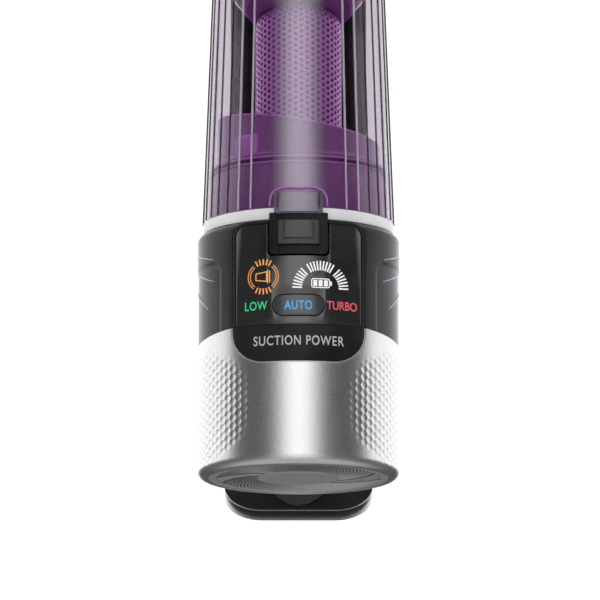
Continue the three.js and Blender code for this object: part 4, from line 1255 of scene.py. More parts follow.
@dataclass(frozen=True)
class ControlHousing:
    """The black shell with a sunk panel and three lilac lines on each side."""

    wall: float = 0.0024
    steps: int = 320
    row: float = 0.001
    flange: float = 0.0376
    panel_angle: float = math.radians(49.5)
    panel_top: float = 0.1035
    panel_depth: float = 0.00045
    panel_corner: float = 0.007
    panel_edge: float = 0.0009
    shoulder: float = 0.0034
    line_radius: float = 0.00055
    line_spans: tuple[tuple[Point, ...], ...] = (
        ((57, 0.1048), (70, 0.1074), (84, 0.1100), (98, 0.1116)),
        ((57, 0.0940), (70, 0.0974), (84, 0.1016), (100, 0.1052)),
        ((64, 0.0812), (73, 0.0858), (84, 0.0912), (102, 0.0975)),
    )

    def _sunk(self, angle: float, station: float) -> float:
        """How far the side panel is sunk at a place.

        Args:
            angle: The angle from the front, in radians.
            station: The station.

        Returns:
            The share of the full depth, from 0 to 1.
        """
        across = (abs(angle) - self.panel_angle) * BARREL.radius
        along = self.panel_top - station
        corner = self.panel_corner
        if across < corner and along < corner:
            inside = corner - math.hypot(corner - across, corner - along)
        else:
            inside = min(across, along)
        share = min(max(inside / self.panel_edge, 0), 1)
        return share * share * (3 - 2 * share)

    def shell(self) -> Piece:
        """The shell, cut at the seam, for the display and for the bin's latch.

        Returns:
            The finished piece.
        """
        radius = BARREL.radius
        inner = radius - self.wall
        near, far = SEAM.station - SEAM.overlap, BARREL.span("control_housing")[1]
        straight = far - self.shoulder
        rows = int((straight - near) / self.row)
        side = [(radius, near + (straight - near) * i / rows) for i in range(rows + 1)]
        shoulder = arc((radius - self.shoulder, straight), self.shoulder, 0, 62, 6)[1:]
        profile = [
            *side,
            *shoulder,
            (radius - 0.0026, far),
            (self.flange, far),
            (self.flange, far - self.wall),
            (inner - 0.0024, far - self.wall),
            (inner, far - 0.006),
            (inner, near),
        ]
        bm = spin_profile(profile, self.steps)
        for vert in bm.verts:
            x, y, z = vert.co
            if abs(math.hypot(x, y) - radius) < HAIR:
                sink = self.panel_depth * self._sunk(math.atan2(x, -y), -z)
                vert.co = (x * (1 - sink / radius), y * (1 - sink / radius), z)
        window = flat_slab(DISPLAY.outline(0.0004), 0.04, 0.02)
        notch = flat_slab(LATCH.outline(0.0003), 0.014, LATCH.floor_radius - 0.0004)
        bm = BARREL.place(carve(bm, SEAM.cutter(Side.OUTER_END, 0.0003), window, notch))
        return Piece("control_shell", bm, Finishes.shell, "body", "satin_black", ("control_housing",), 30)

    def lines(self) -> Piece:
        """Three lines on each side that fan out towards the back.

        Returns:
            The finished piece.
        """
        bars = []
        for side in (-1, 1):
            for span in self.line_spans:
                points = []
                for degrees, station in span:
                    sink = self.panel_depth if station < self.panel_top else 0.0
                    place = radial_place(BARREL.radius - sink - 0.00002, math.radians(degrees) * side)
                    points.append(Vector((*place, -station)))
                bars.append(wire(points, self.line_radius))
        return Piece("side_lines", BARREL.place(merged(*bars)), Finishes.accent, "body", "violet")

    def trim(self) -> Piece:
        """The pale ring between the housing and the bin.

        Returns:
            The finished piece.
        """
        start, end = BARREL.span("trim_ring")
        low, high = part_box("trim_ring")
        profile = band_profile(0.036, (high.x - low.x) / 2, start, end)
        bm = soften(spin_profile(profile, 200), 0.0005, 3)
        return Piece("trim_band", BARREL.place(bm), Finishes.trim, "body", "trim_white", ("trim_ring",))

    def pieces(self) -> list[Piece]:
        """The shell, its lines and the trim ring."""
        return [self.shell(), self.lines(), self.trim()]


# ---------------------------------------------------------------- bin latch


@dataclass(frozen=True)
class BinLatch:
    """The recess over the bin's hook, with its rails and sliding button."""

    half_width: float
    start: float
    end: float
    floor_radius: float
    corner: float = 0.0022
    rail: float = 0.0036
    floor: float = 0.001

    @classmethod
    def from_frame(cls) -> "BinLatch":
        """Reads the recess from the CAD guide's box. It runs on over the first half of the trim ring."""
        low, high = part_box("latch_guide")
        end = sum(BARREL.span("trim_ring")) / 2 - 0.0002
        start = BARREL.span("latch_guide")[0]
        return cls((high.x - low.x) / 2, start, end, BARREL.radius - 0.0024)

    def outline(self, grow: float = 0.0) -> list[Point]:
        """The recess's outline, run out past the housing's edge."""
        half, start, end = self.half_width + grow, self.start - grow, self.end + grow
        return rounded_outline(half, start, end, self.corner, 0.0004)

    def guide(self) -> Piece:
        """A floor and two rails, each with a step.

        Returns:
            The finished piece.
        """
        channel = self.half_width - self.rail
        base = flat_slab(self.outline(), 0.0029)
        trough = rounded_outline(channel, self.start + 0.0011, self.end + 0.004, 0.001, 0.0004)
        step = rounded_outline(channel + 0.0009, self.start + 0.0006, self.end + 0.004, 0.0012, 0.0004)
        base = carve(base, flat_slab(trough, 0.01, self.floor), flat_slab(step, 0.01, 0.0024))
        bm = BARREL.place(wrap_on_barrel(soften(base, 0.0002), self.floor_radius))
        return Piece("latch_recess", bm, Finishes.bezel, "body", "gloss_black", ("latch_guide",))

    def button(self) -> Piece:
        """The thumb button: a pad with round shoulders and a short rib, on a thin slide.

        Returns:
            The finished piece.
        """
        start, end = BARREL.span("latch_button")
        low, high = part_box("latch_button")
        half = (high.x - low.x) / 2
        slide = flat_slab(rounded_outline(half, start, end, 0.0008, 0.0008), 0.0012)
        pad = rounded_outline(half - 0.0028, start + 0.0026, end - 0.0002, 0.0006, 0.0022)
        shoulders = soften(flat_slab(pad, 0.0019, 0.0006), 0.0006, 4)
        rib = box_mesh((-0.0005, -0.0020, -start - 0.0030), (0.0005, -0.0006, -start - 0.0005))
        bm = merged(soften(slide, 0.0003), shoulders, soften(rib, 0.00015))
        bm = BARREL.place(wrap_on_barrel(bm, self.floor_radius + self.floor + 0.0003))
        return Piece("latch_slide", bm, Finishes.pad, "bin_latch", "gloss_black", ("latch_button",))

    def pieces(self) -> list[Piece]:
        """The guide and the button."""
        return [self.guide(), self.button()]


LATCH = BinLatch.from_frame()


# ---------------------------------------------------------------- display


@dataclass(frozen=True)
class DisplayUnit:
    """The glossy frame and lens, the mode key, and the lit symbols under the lens."""

    frame_top: float = 0.0006
    lens_top: float = 0.0004
    key_length: float = 0.0252
    key_height: float = 0.0103
    key_station: float = 0.078
    key_depth: float = 0.0056
    word_size: float = 0.0060
    label_size: float = 0.0066
    label_station: float = 0.0603
    gauge_centre: Point = (-0.0107, 0.0864)
    gauge_groups: tuple[tuple[int, int, int], ...] = ((2, 46, 7), (61, 119, 9), (134, 178, 7))
    battery_centre: Point = (-0.0108, 0.0890)
    battery_half_width: float = 0.0046
    battery_half_height: float = 0.0024
    filter_centre: Point = (0.0172, 0.0925)
    print_thickness: float = 0.00004
    boldness: float = 0.011
    narrow: float = 0.75

    @property
    def lens_radius(self) -> float:
        """The radius of the lens's outer face."""
        return BARREL.radius + self.lens_top

    def bezel(self) -> Piece:
        """The frame, with the label's tongue.

        Returns:
            The finished piece.
        """
        inner = BARREL.radius - 0.0024
        slab = flat_slab(DISPLAY.outline(), BARREL.radius + self.frame_top - inner)
        lens = flat_slab(DISPLAY.lens_outline(), 0.02, -0.005)
        notch = flat_slab(LATCH.outline(0.0003), 0.02, -0.005)
        bm = soften(carve(slab, lens, notch), 0.0004, 3)
        bm = BARREL.place(wrap_on_barrel(bm, inner))
        return Piece("display_frame", bm, Finishes.bezel, "body", "gloss_black", ("display_bezel",), 30)

    def lens(self) -> Piece:
        """The lens, cut out for the latch and the key.

        Returns:
            The finished piece.
        """
        inner = BARREL.radius - 0.0022
        slab = flat_slab(DISPLAY.lens_outline(0.0002), self.lens_radius - inner)
        notch = flat_slab(LATCH.outline(0.0009), 0.02, -0.005)
        key = pill_outline(self.key_length, self.key_height, self.key_station, 0.0004)
        bm = soften(carve(slab, notch, flat_slab(key, 0.02, -0.005)), 0.00015, 2)
        bm = BARREL.place(wrap_on_barrel(bm, inner))
        return Piece("display_window", bm, Finishes.lens, "body", "dark_lens", ("display_lens",), 30)

    def key(self) -> list[Piece]:
        """The mode key and its word.

        Returns:
            The finished pieces.
        """
        low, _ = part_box("mode_button")
        top = BARREL.axis_y - low.y
        inner = top - self.key_depth
        slab = flat_slab(pill_outline(self.key_length, self.key_height, self.key_station), top - inner)
        bm = wrap_on_barrel(soften(slab, 0.0006, 4), inner)
        word = self._word("AUTO", 0.0062, 0, self.key_station - 0.0003, top, spread=1.1)
        return [
            Piece("mode_key", BARREL.place(bm), Finishes.key, "mode_key", "dark_lens", ("mode_button",)),
            Piece("mode_word", word, Finishes.blue_print, "mode_key", "dark_lens"),
        ]

    def _word(
        self,
        text: str,
        size: float,
        x: float,
        station: float,
        radius: float,
        spread: float = 1.0,
    ) -> bmesh.types.BMesh:
        """A word printed on the barrel, read with the bin upwards.

        Args:
            text: The word.
            size: The letters' size.
            x: Where its middle is across the barrel.
            station: Where its middle is along the barrel.
            radius: The surface it lies on.
            spread: The space between letters.

        Returns:
            The placed mesh.
        """
        curve = bpy.data.curves.new(text, "FONT")
        curve.body = text
        curve.size = size
        curve.extrude = self.print_thickness / 2
        curve.space_character = spread
        curve.offset = size * self.boldness
        curve.align_x = "CENTER"
        curve.align_y = "CENTER"
        bm = curve_to_mesh(curve)
        bmesh.ops.scale(bm, verts=bm.verts, vec=(self.narrow, 1, 1))
        turned = Matrix(((-1, 0, 0), (0, 0, -1), (0, -1, 0)))
        bmesh.ops.transform(bm, verts=bm.verts, matrix=turned.to_4x4())
        bmesh.ops.translate(bm, verts=bm.verts, vec=(x, 0, -station))
        return BARREL.place(wrap_on_barrel(bm, radius + self.print_thickness / 2))

    def _mark(self, *slabs: bmesh.types.BMesh) -> bmesh.types.BMesh:
        """Flat marks laid on the lens."""
        return BARREL.place(wrap_on_barrel(merged(*slabs), self.lens_radius))

    def _bar(
        self, centre: Point, angle: float, inner: float, outer: float, width: float
    ) -> bmesh.types.BMesh:
        """A short radial bar about a centre.

        Args:
            centre: The centre.
            angle: The bar's angle in degrees, from the letters' right towards their top.
            inner: How far from the centre it starts.
            outer: How far from the centre it ends.
            width: Its width.

        Returns:
            The flat slab.
        """
        turn = math.radians(angle)
        along = Vector((-math.cos(turn), math.sin(turn)))
        across = Vector((along.y, -along.x)) * width / 2
        middle = Vector(centre)
        near, far = middle + along * inner, middle + along * outer
        corners = (near - across, far - across, far + across, near + across)
        return flat_slab([tuple(corner) for corner in corners], self.print_thickness)

    def _stroke(self, points: Sequence[Point], width: float) -> list[bmesh.types.BMesh]:
        """Straight strokes from each point to the next.

        Args:
            points: The points.
            width: The strokes' width.

        Returns:
            The flat slabs.
        """
        made = []
        for start, end in zip(points, points[1:]):
            a, b = Vector(start), Vector(end)
            along = (b - a).normalized() * width / 2
            across = Vector((-along.y, along.x))
            corners = [a - along + across, b + along + across, b + along - across, a - along - across]
            made.append(flat_slab([tuple(c) for c in corners], self.print_thickness))
        return made

    def gauge(self) -> Piece:
        """Three groups of bars in a half circle, round a battery.

        Returns:
            The finished piece.
        """
        bars = []
        for first, last, count in self.gauge_groups:
            for i in range(count):
                angle = first + (last - first) * i / (count - 1)
                bars.append(self._bar(self.gauge_centre, angle, 0.0090, 0.0137, 0.00074))
        mesh = self._mark(*bars, *self._battery())
        return Piece("gauge_print", mesh, Finishes.white_print, "body", "dark_lens")

    def _battery(self) -> list[bmesh.types.BMesh]:
        """The battery's case, three cells and tip.

        Returns:
            The meshes.
        """
        x, s = self.battery_centre
        half, tall = self.battery_half_width, self.battery_half_height
        case = rounded_outline(half, s - tall, s + tall, 0.0012, 0.0012)
        core = rounded_outline(half - 0.0005, s - tall + 0.0005, s + tall - 0.0005, 0.0008, 0.0008)
        cell = rounded_outline(0.00095, s - tall + 0.0009, s + tall - 0.0009, 0.0002, 0.0002)
        tip = rounded_outline(0.0004, s - 0.0011, s + 0.0011, 0.0003, 0.0003)
        return [
            carve(self._shifted(case, x), self._shifted(core, x, 0.001, -0.0004)),
            *[self._shifted(cell, x + shift) for shift in (0.0026, 0, -0.0026)],
            self._shifted(tip, x - half - 0.0005),
        ]

    def _shifted(
        self, outline: list[Point], x: float, thickness: float = 0.0, raise_by: float = 0.0
    ) -> bmesh.types.BMesh:
        """A flat mark moved across the lens.

        Args:
            outline: Its (x, station) points, about x = 0.
            x: How far it is moved.
            thickness: Its thickness, or 0 for the print's own.
            raise_by: How far it starts from the lens.

        Returns:
            The flat slab.
        """
        bm = flat_slab(outline, thickness or self.print_thickness, raise_by)
        bmesh.ops.translate(bm, verts=bm.verts, vec=(x, 0, 0))
        return bm

    def filter_symbol(self) -> Piece:
        """A ring of short marks round a filter cartridge.

        Returns:
            The finished piece.
        """
        x, s = self.filter_centre
        marks = []
        for radius in (0.0063, 0.0074):
            for side in (0, 180):
                marks += self._stroke(arc((x, s), radius, side - 48, side + 48, 14), 0.0004)
        for middle in (90, -90):
            for i in range(5):
                turn = math.radians(middle - 26 + 13 * i)
                inner = (x + 0.0062 * math.cos(turn), s + 0.0062 * math.sin(turn))
                outer = (x + 0.0084 * math.cos(turn), s + 0.0084 * math.sin(turn))
                marks += self._stroke([inner, outer], 0.0007)
        cup = [
            (x + 0.0036, s - 0.0016),
            (x + 0.0036, s + 0.0016),
            (x - 0.0016, s + 0.0024),
            (x - 0.0016, s - 0.0024),
        ]
        marks += self._stroke([*cup, cup[0]], 0.0005)
        for offset, tall in ((0.0021, 0.0030), (0.0031, 0.0026)):
            marks += self._stroke([(x - offset, s - tall), (x - offset, s + tall)], 0.0006)
        return Piece("filter_print", self._mark(*marks), Finishes.orange_print, "body", "dark_lens")

    def words(self) -> list[Piece]:
        """The plain mode words beside the key, and the label's words.

        Returns:
            The finished pieces.
        """
        size, station = self.word_size, self.key_station
        label_radius = BARREL.radius + self.frame_top
        return [
            Piece(
                "low_word",
                self._word("LOW", size, 0.0209, station, self.lens_radius, spread=1.1),
                Finishes.green_print,
                "body",
                "dark_lens",
            ),
            Piece(
                "high_word",
                self._word("TURBO", size, -0.0213, station, self.lens_radius, spread=1.0),
                Finishes.red_print,
                "body",
                "dark_lens",
            ),
            # The label's print glows a little: painted light.
            Piece(
                "label_word",
                self._word(
                    "SUCTION POWER", self.label_size, 0, self.label_station, label_radius, spread=1.14
                ),
                Finishes.painted_glow_label,
                "body",
                "gloss_black",
            ),
        ]

    def pieces(self) -> list[Piece]:
        """All of the display's pieces."""
        return [self.bezel(), self.lens(), *self.key(), self.gauge(), self.filter_symbol(), *self.words()]


# ---------------------------------------------------------------- dust bin and cyclone


@dataclass(frozen=True)
class DustBin:
    """The clear ribbed bin, with its hook tab and port."""

    wall: float = 0.0018
    steps: int = 240
    rib_pitch: float = math.radians(9)
    rib_first: float = math.radians(29.8)
    ribs: int = 8
    front_ribs: int = 2
    rib_radius: float = 0.00062
    side_rib_share: float = 0.75
    taper: float = 0.0055
    nose_rounding: float = 0.0076
    tab_half_width: float = 0.0102

    def sizes(self) -> tuple[float, float, float, float]:
        """The first and last station, and the radius at each, from the frame."""
        low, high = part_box("bin_shell")
        radius = (high.x - low.x) / 2
        start = BARREL.span("trim_ring")[1] + 0.0003
        return start, BARREL.span("bin_shell")[1], radius, radius - self.taper

    def shell(self) -> Piece:
        """The wall, the closed nose and the port.

        Returns:
            The finished piece.
        """
        start, end, near, far = self.sizes()
        round_start = end - self.nose_rounding
        slope = (far - near) / (round_start - start)
        rows = 6
        drops = [(round_start - start) * i / rows for i in range(rows + 1)]
        outer = [(near + slope * drop, start + drop) for drop in drops]
        centre = (far - self.nose_rounding, round_start)
        nose = arc(centre, self.nose_rounding, 0, 90)[1:]
        inner_nose = arc(centre, self.nose_rounding - self.wall, 90, 0)
        profile = [(0, end - self.wall), *inner_nose, (near - self.wall, start), *outer, *nose, (0, end)]
        bm = spin_profile(profile, self.steps)
        low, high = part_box("inlet_gasket")
        port = box_mesh(
            (low.x - 0.0003, 0.02, low.z - BARREL.end - 0.0003),
            (high.x + 0.0003, near + 0.004, high.z - BARREL.end + 0.0003),
        )
        bm = carve(bm, port)
        # The bin's wall carries a painted reflection strip down its middle.
        return Piece("bin_wall", BARREL.place(bm), Finishes.clear, "bin", "clear_tint", ("bin_shell",), 50)

    def rib_rows(self) -> list[Piece]:
        """The upright ribs on both sides, half sunk in the wall: the front ones carry painted highlight,
        the side ones painted shade.

        Returns:
            The finished pieces.
        """
        start, end, near, far = self.sizes()
        top = end - self.nose_rounding
        rods: dict[str, list[bmesh.types.BMesh]] = {"front": [], "side": []}
        for i in range(self.ribs):
            in_front = i < self.front_ribs
            radius = self.rib_radius * (1.0 if in_front else self.side_rib_share)
            for side in (-1, 1):
                turn = side * (self.rib_first + i * self.rib_pitch)
                ends = [
                    Vector((*radial_place(reach, turn), -station))
                    for reach, station in ((near, start + 0.0002), (far, top))
                ]
                rods["front" if in_front else "side"].append(wire(ends, radius, taper=False))
        # Painted light: the front row gets the lighter rib finish, the side rows the darker one.
        finish = {"front": Finishes.painted_lit_rib, "side": Finishes.painted_shaded_rib}
        return [
            Piece(f"{row}_ribs", BARREL.place(merged(*made)), finish[row], "bin", "clear_tint")
            for row, made in rods.items()
        ]

    def tab(self) -> list[Piece]:
        """The hook tab over the trim ring, and the arch that stiffens it.

        Returns:
            The finished pieces.
        """
        start, _, near, _ = self.sizes()
        tab_start, tab_end = BARREL.span("bin_shell")[0], start + 0.0068
        outline = rounded_outline(self.tab_half_width, tab_start, tab_end, 0.0004, 0.0012)
        block = soften(flat_slab(outline, 0.0028), 0.0004, 3)
        block = wrap_on_barrel(block, near + 0.0003)
        cheeks = []
        for side in (-1, 1):
            edge = flat_slab(rounded_outline(0.0006, tab_start, tab_end + 0.0006, 0.0003, 0.0006), 0.0034)
            shift = side * (self.tab_half_width + 0.0011)
            bmesh.ops.translate(edge, verts=edge.verts, vec=(shift, 0, 0))
            cheeks.append(edge)
        cheek = wrap_on_barrel(merged(*cheeks), near + 0.0001)
        reach, top = self.tab_half_width + 0.0038, tab_end + 0.0022
        half_path = [
            (reach, start + 0.0006),
            (reach, start + 0.0022),
            (reach - 0.0012, top - 0.0022),
            (reach - 0.0042, top),
        ]
        path = [*half_path, (0, top + 0.0003), *[(-x, station) for x, station in reversed(half_path)]]
        radius = near - 0.0002
        points = [Vector((x, -math.sqrt(radius**2 - x**2), -station)) for x, station in path]
        arch = wire(points, 0.0006, taper=False)
        return [
            # The tab carries the painted reflection strip.
            Piece("hook_tab", BARREL.place(merged(block, cheek)), Finishes.sheened_hook, "bin", "clear_tint"),
            # The arch is in the lighter copy of the violet: painted light.
            Piece("hook_arch", BARREL.place(arch), Finishes.painted_light_violet, "bin", "clear_tint"),
        ]

    def pieces(self) -> list[Piece]:
        """The shell, its ribs, its tab and arch."""
        return [self.shell(), *self.rib_rows(), *self.tab()]


@dataclass(frozen=True)
class Cyclone:
    """The violet parts in the bin: base, slanted skirt, screen and flared head."""

    skirt_radius: float = 0.0405
    skirt_station: float = 0.173
    skirt_tilt: float = math.radians(9.3)
    screen_radius: float = 0.0215
    screen_start: float = 0.166
    columns: int = 46
    hole_pitch: float = 0.003
    shoulder: float = 0.0105
    shoulder_draw: float = 0.0095
    head_start: float = 0.2305
    head_station: float = 0.2335
    head_tilt: float = math.radians(16)
    rows: int = 24
    rim: float = 0.0440
    band: float = 0.1515
    # The radius of the painted highlight lines.
    highlight_radius: float = 0.00055

    @staticmethod
    def _slanted_box(
        low: Triple, high: Triple, tilt: float, axis: str, station: float
    ) -> bmesh.types.BMesh:
        """A box that is tilted about an axis through the origin, then moved to a station.

        Args:
            low: The box's lowest corner.
            high: Its highest corner.
            tilt: The tilt, in radians.
            axis: The axis it is tilted about, "X" or "Y".
            station: The station that the origin is moved to.

        Returns:
            The closed box.
        """
        slant = box_mesh(low, high)
        turned = Matrix.Rotation(tilt, 3, axis)
        bmesh.ops.rotate(slant, verts=slant.verts, cent=(0, 0, 0), matrix=turned)
        bmesh.ops.translate(slant, verts=slant.verts, vec=(0, 0, -station))
        return slant

    def base(self) -> Piece:
        """The base with its grooved band, and the skirt cut on a slant.

        Returns:
            The finished piece.
        """
        start, _ = BARREL.span("cyclone_base")
        rim, band, skirt = self.rim, self.band, self.skirt_radius
        inside = self.screen_radius + 0.0003
        profile = [
            (inside + 0.006, start),
            (rim, start),
            (rim - 0.0009, band),
            (rim - 0.0030, band + 0.0003),
            (rim - 0.0032, band + 0.0022),
            (rim - 0.0019, band + 0.0025),
            (rim - 0.0019, band + 0.0045),
            (rim - 0.0026, band + 0.0052),
            (skirt + 0.0006, band + 0.0060),
            (skirt, band + 0.0075),
            (skirt, self.skirt_station + 0.012),
            (skirt - 0.002, self.skirt_station + 0.012),
            (skirt - 0.002, band + 0.0100),
            (inside, band + 0.0100),
            (inside, band + 0.0060),
            (inside + 0.006, band + 0.0020),
        ]
        bm = soften(spin_profile(profile, 160), 0.0003, 2)
        low, high = (-0.1, -0.1, -0.1), (0.1, 0.1, 0)
        slant = self._slanted_box(low, high, self.skirt_tilt, "Y", self.skirt_station)
        bm = BARREL.place(soften(carve(bm, slant), 0.0003, 2, 60))
        # The skirt is in the darker copy of the violet: painted shade.
        return Piece("cyclone_skirt", bm, Finishes.painted_shade_violet, "bin", "violet", ("cyclone_base",), 35)

    def bump(self) -> Piece:
        """The soft bulge on the skirt over the inlet's turn, in the lighter violet of painted light.

        Returns:
            The finished piece.
        """
        bm = bmesh.new()
        middle = Matrix.Translation((0.0250, -0.0305, -0.1605))
        turned = Matrix.Rotation(math.radians(39), 4, "Z")
        half_sizes = Matrix.Diagonal((0.0072, 0.0026, 0.0066, 1))
        bmesh.ops.create_cube(bm, size=2, matrix=middle @ turned @ half_sizes)
        soften(bm, 0.0025, 5)
        return Piece("skirt_bulge", BARREL.place(bm), Finishes.painted_light_violet, "bin", "violet")

    def edges(self) -> Piece:
        """Painted highlights: lines in the lighter violet along the edges of the skirt and of the band
        under it.

        Returns:
            The finished piece.
        """
        steps = 60
        turns = [FULL_TURN * i / steps for i in range(steps + 1)]
        hoops = (
            (self.skirt_radius - 0.0006, self.skirt_station, self.skirt_tilt),
            (0.0428, 0.1541, 0.0),
            (0.0432, 0.1513, 0.0),
        )
        wires = []
        for radius, station, tilt in hoops:
            flat = [radial_place(radius, turn) for turn in turns]
            points = [Vector((x, y, -station - x * math.tan(tilt))) for x, y in flat]
            wires.append(wire(points, self.highlight_radius, taper=False))
        return Piece("skirt_edge_highlights", BARREL.place(merged(*wires)), Finishes.painted_light_violet, "bin", "violet")

    def screen(self) -> Piece:
        """The perforated tube: a brick grid whose cells relax into a honeycomb and are opened.

        Returns:
            The finished piece.
        """
        bm = bmesh.new()
        tall = self.rows * self.hole_pitch
        bmesh.ops.create_grid(bm, x_segments=self.columns, y_segments=2 * self.rows + 1, size=0.5)
        column = 1 / self.columns
        row = 1 / (2 * self.rows + 1)
        spare = []
        for edge in bm.edges:
            a, b = (v.co for v in edge.verts)
            if abs(a.y - b.y) > row / 2:
                continue
            i = int((min(a.x, b.x) + 0.5) / column + 0.5)
            j = int((a.y + 0.5) / row + 0.5)
            if 0 < j < 2 * self.rows + 1 and (i + j) % 2:
                spare.append(edge)
        bmesh.ops.dissolve_edges(bm, edges=spare, use_verts=False)
        for vert in bm.verts:
            turn = (vert.co.x + 0.5) * FULL_TURN
            height = (vert.co.y + 0.5) * tall
            shoulder = max(0.0, (height - tall + self.shoulder) / self.shoulder)
            radius = self.screen_radius - self.shoulder_draw * shoulder**2.2
            vert.co = (*radial_place(radius, turn), -self.screen_start - height)
        bmesh.ops.remove_doubles(bm, verts=bm.verts, dist=HAIR)
        cells = [f for f in bm.faces if len(f.verts) >= 5]
        bmesh.ops.inset_individual(bm, faces=cells, thickness=0.00062, depth=0.0, use_even_offset=True)
        bmesh.ops.delete(bm, geom=cells, context="FACES")
        bmesh.ops.recalc_face_normals(bm, faces=bm.faces)
        bmesh.ops.solidify(bm, geom=bm.faces[:], thickness=0.0005)
        made = make_object("screen_draft", bm)
        smooth = made.modifiers.new("round", "SUBSURF")
        smooth.levels = smooth.render_levels = 1
        apply_modifiers(made)
        final = bmesh.new()
        final.from_mesh(made.data)
        bpy.data.objects.remove(made)
        bm = BARREL.place(final)
        # The screen is in the lighter copy of the violet: painted light.
        return Piece("cyclone_screen", bm, Finishes.painted_light_violet, "bin", "violet", ("mesh_screen",), 60)

    def core(self) -> Piece:
        """A dark tube behind the screen, so that its holes read dark: painted shade.

        Returns:
            The finished piece.
        """
        start = self.screen_start + 0.001
        end = self.screen_start + self.rows * self.hole_pitch - 0.002
        radius = self.screen_radius - 0.0022
        profile = [(0, start), (radius, start), (radius, end - 0.008), (radius - 0.007, end), (0, end)]
        bm = spin_profile(profile, 64)
        return Piece("screen_shade_tube", BARREL.place(bm), Finishes.dark_cloth, "bin", "violet")

    def head(self) -> Piece:
        """The flared head over the screen.

        Returns:
            The finished piece.
        """
        start = self.head_start
        profile = [
            (0.0060, start + 0.009),
            (0.0120, start + 0.009),
            (0.0216, start + 0.001),
            (0.0221, start),
            (0.0229, start + 0.0003),
            (0.0310, start + 0.0098),
            (0.0366, start + 0.0175),
            (0.0378, start + 0.0205),
            (0.0372, start + 0.0225),
            (0.0330, start + 0.0235),
            (0.0270, start + 0.0190),
            (0.0060, start + 0.0180),
        ]
        low, high = (-0.1, -0.1, 0), (0.1, 0.1, 0.1)
        slant = self._slanted_box(low, high, self.head_tilt, "X", self.head_station)
        bm = BARREL.place(soften(carve(spin_profile(profile, 120), slant), 0.0003, 2, 50))
        return Piece("cyclone_flare", bm, Finishes.violet, "bin", "violet", ("cyclone_head",), 35)

    def pieces(self) -> list[Piece]:
        """All of the cyclone's pieces."""
        return [self.base(), self.bump(), self.edges(), self.screen(), self.core(), self.head()]


# ---------------------------------------------------------------- pieces whose CAD shape is right


@dataclass(frozen=True)
class Refined:
    """A CAD node's shape with its edges rounded and a finish on it."""

    node: str
    finish: Finish
    slot: str
    width: float = 0.0006
    segments: int = 3
    degrees: float = 34

    def piece(self) -> Piece:
        """A softened copy that stands for the node.

        Returns:
            The finished piece.
        """
        source = frame["nodes"][self.node]
        bm = bmesh.new()
        bm.from_mesh(source.data)
        bmesh.ops.remove_doubles(bm, verts=bm.verts, dist=2e-6)
        bmesh.ops.dissolve_limit(bm, angle_limit=math.radians(0.6), verts=bm.verts, edges=bm.edges)
        soften(bm, self.width, self.segments, self.degrees)
        body = source["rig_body"]
        return Piece(f"{self.node}_body", bm, self.finish, body, self.slot, (self.node,), 34)


class Bench:
    """The CAD nodes that keep their shape, by finish."""

    softened: tuple[Refined, ...] = (
        Refined("duct_housing", Finishes.gloss, "gloss_black", 0.0012, 4),
        Refined("handle_left", Finishes.foot, "gloss_black", 0.0006),
        Refined("handle_right", Finishes.foot, "gloss_black", 0.0006),
        Refined("grip_pad", Finishes.rubber, "rubber", 0.0004),
        Refined("trigger", Finishes.violet, "violet", 0.0009),
        Refined("battery_housing", Finishes.foot, "gloss_black", 0.0022, 5),
        Refined("battery_lid", Finishes.satin, "satin_black", 0.0004),
        Refined("battery_latch_left", Finishes.satin, "satin_black", 0.0003),
        Refined("battery_latch_right", Finishes.satin, "satin_black", 0.0003),
        Refined("wand_collar", Finishes.gloss, "gloss_black", 0.0008),
        Refined("wand_button", Finishes.violet, "violet", 0.0009),
        Refined("upper_tube", Finishes.anodised, "bright_metal", 0.0003),
        Refined("lower_tube", Finishes.anodised, "bright_metal", 0.0003),
        Refined("knee_fork", Finishes.satin, "satin_black", 0.0006),
        Refined("knee_knuckle", Finishes.satin, "satin_black", 0.0006),
        Refined("knee_button", Finishes.violet, "violet", 0.0009),
        Refined("knee_pin_left", Finishes.steel, "steel", 0.0004),
        Refined("knee_pin_right", Finishes.steel, "steel", 0.0004),
        Refined("wand_foot", Finishes.satin, "satin_black", 0.0006),
        Refined("neck", Finishes.satin, "satin_black", 0.0005),
        Refined("head_base", Finishes.satin, "satin_black", 0.0008),
        Refined("head_cover", Finishes.gloss, "gloss_black", 0.0014, 4),
        Refined("roller_cap", Finishes.violet, "violet", 0.0006),
        Refined("wheel_left", Finishes.rubber, "rubber", 0.0012, 4),
        Refined("wheel_right", Finishes.rubber, "rubber", 0.0012, 4),
        Refined("handle_screw_upper", Finishes.steel, "steel", 0.0003),
        Refined("handle_screw_lower", Finishes.steel, "steel", 0.0003),
        Refined("inlet_gasket", Finishes.rubber, "rubber", 0.0003),
    )
    plain: tuple[tuple[str, Finish], ...] = (
        ("exhaust_filter", Finishes.dark_cloth),
        ("display_tray", Finishes.satin),
        ("display_board", Finishes.board),
        ("motor_can", Finishes.steel),
        ("motor_mount_rear", Finishes.rubber),
        ("motor_mount_front", Finishes.rubber),
        ("motor_board", Finishes.board),
        ("motor_shaft", Finishes.steel),
        ("impeller", Finishes.satin),
        ("intake_funnel", Finishes.satin),
        ("bin_filter", Finishes.cloth),
        ("trigger_switch", Finishes.satin),
        ("battery_cells", Finishes.wrap),
        ("battery_board", Finishes.board),
        ("brush_roller", Finishes.bristle),
        ("brush_motor", Finishes.steel),
        ("motor_pulley", Finishes.steel),
        ("drive_belt", Finishes.rubber),
    )

    def pieces(self) -> list[Piece]:
        """The softened copies."""
        return [entry.piece() for entry in self.softened]

    def dress_plain(self) -> None:
        """Gives the nodes that stay as they are their finishes."""
        for node, finish in self.plain:
            source = frame["nodes"][node]
            source.data.materials.clear()
            source.data.materials.append(finish.material())
            LOG.info("%s: kept from the frame", node)


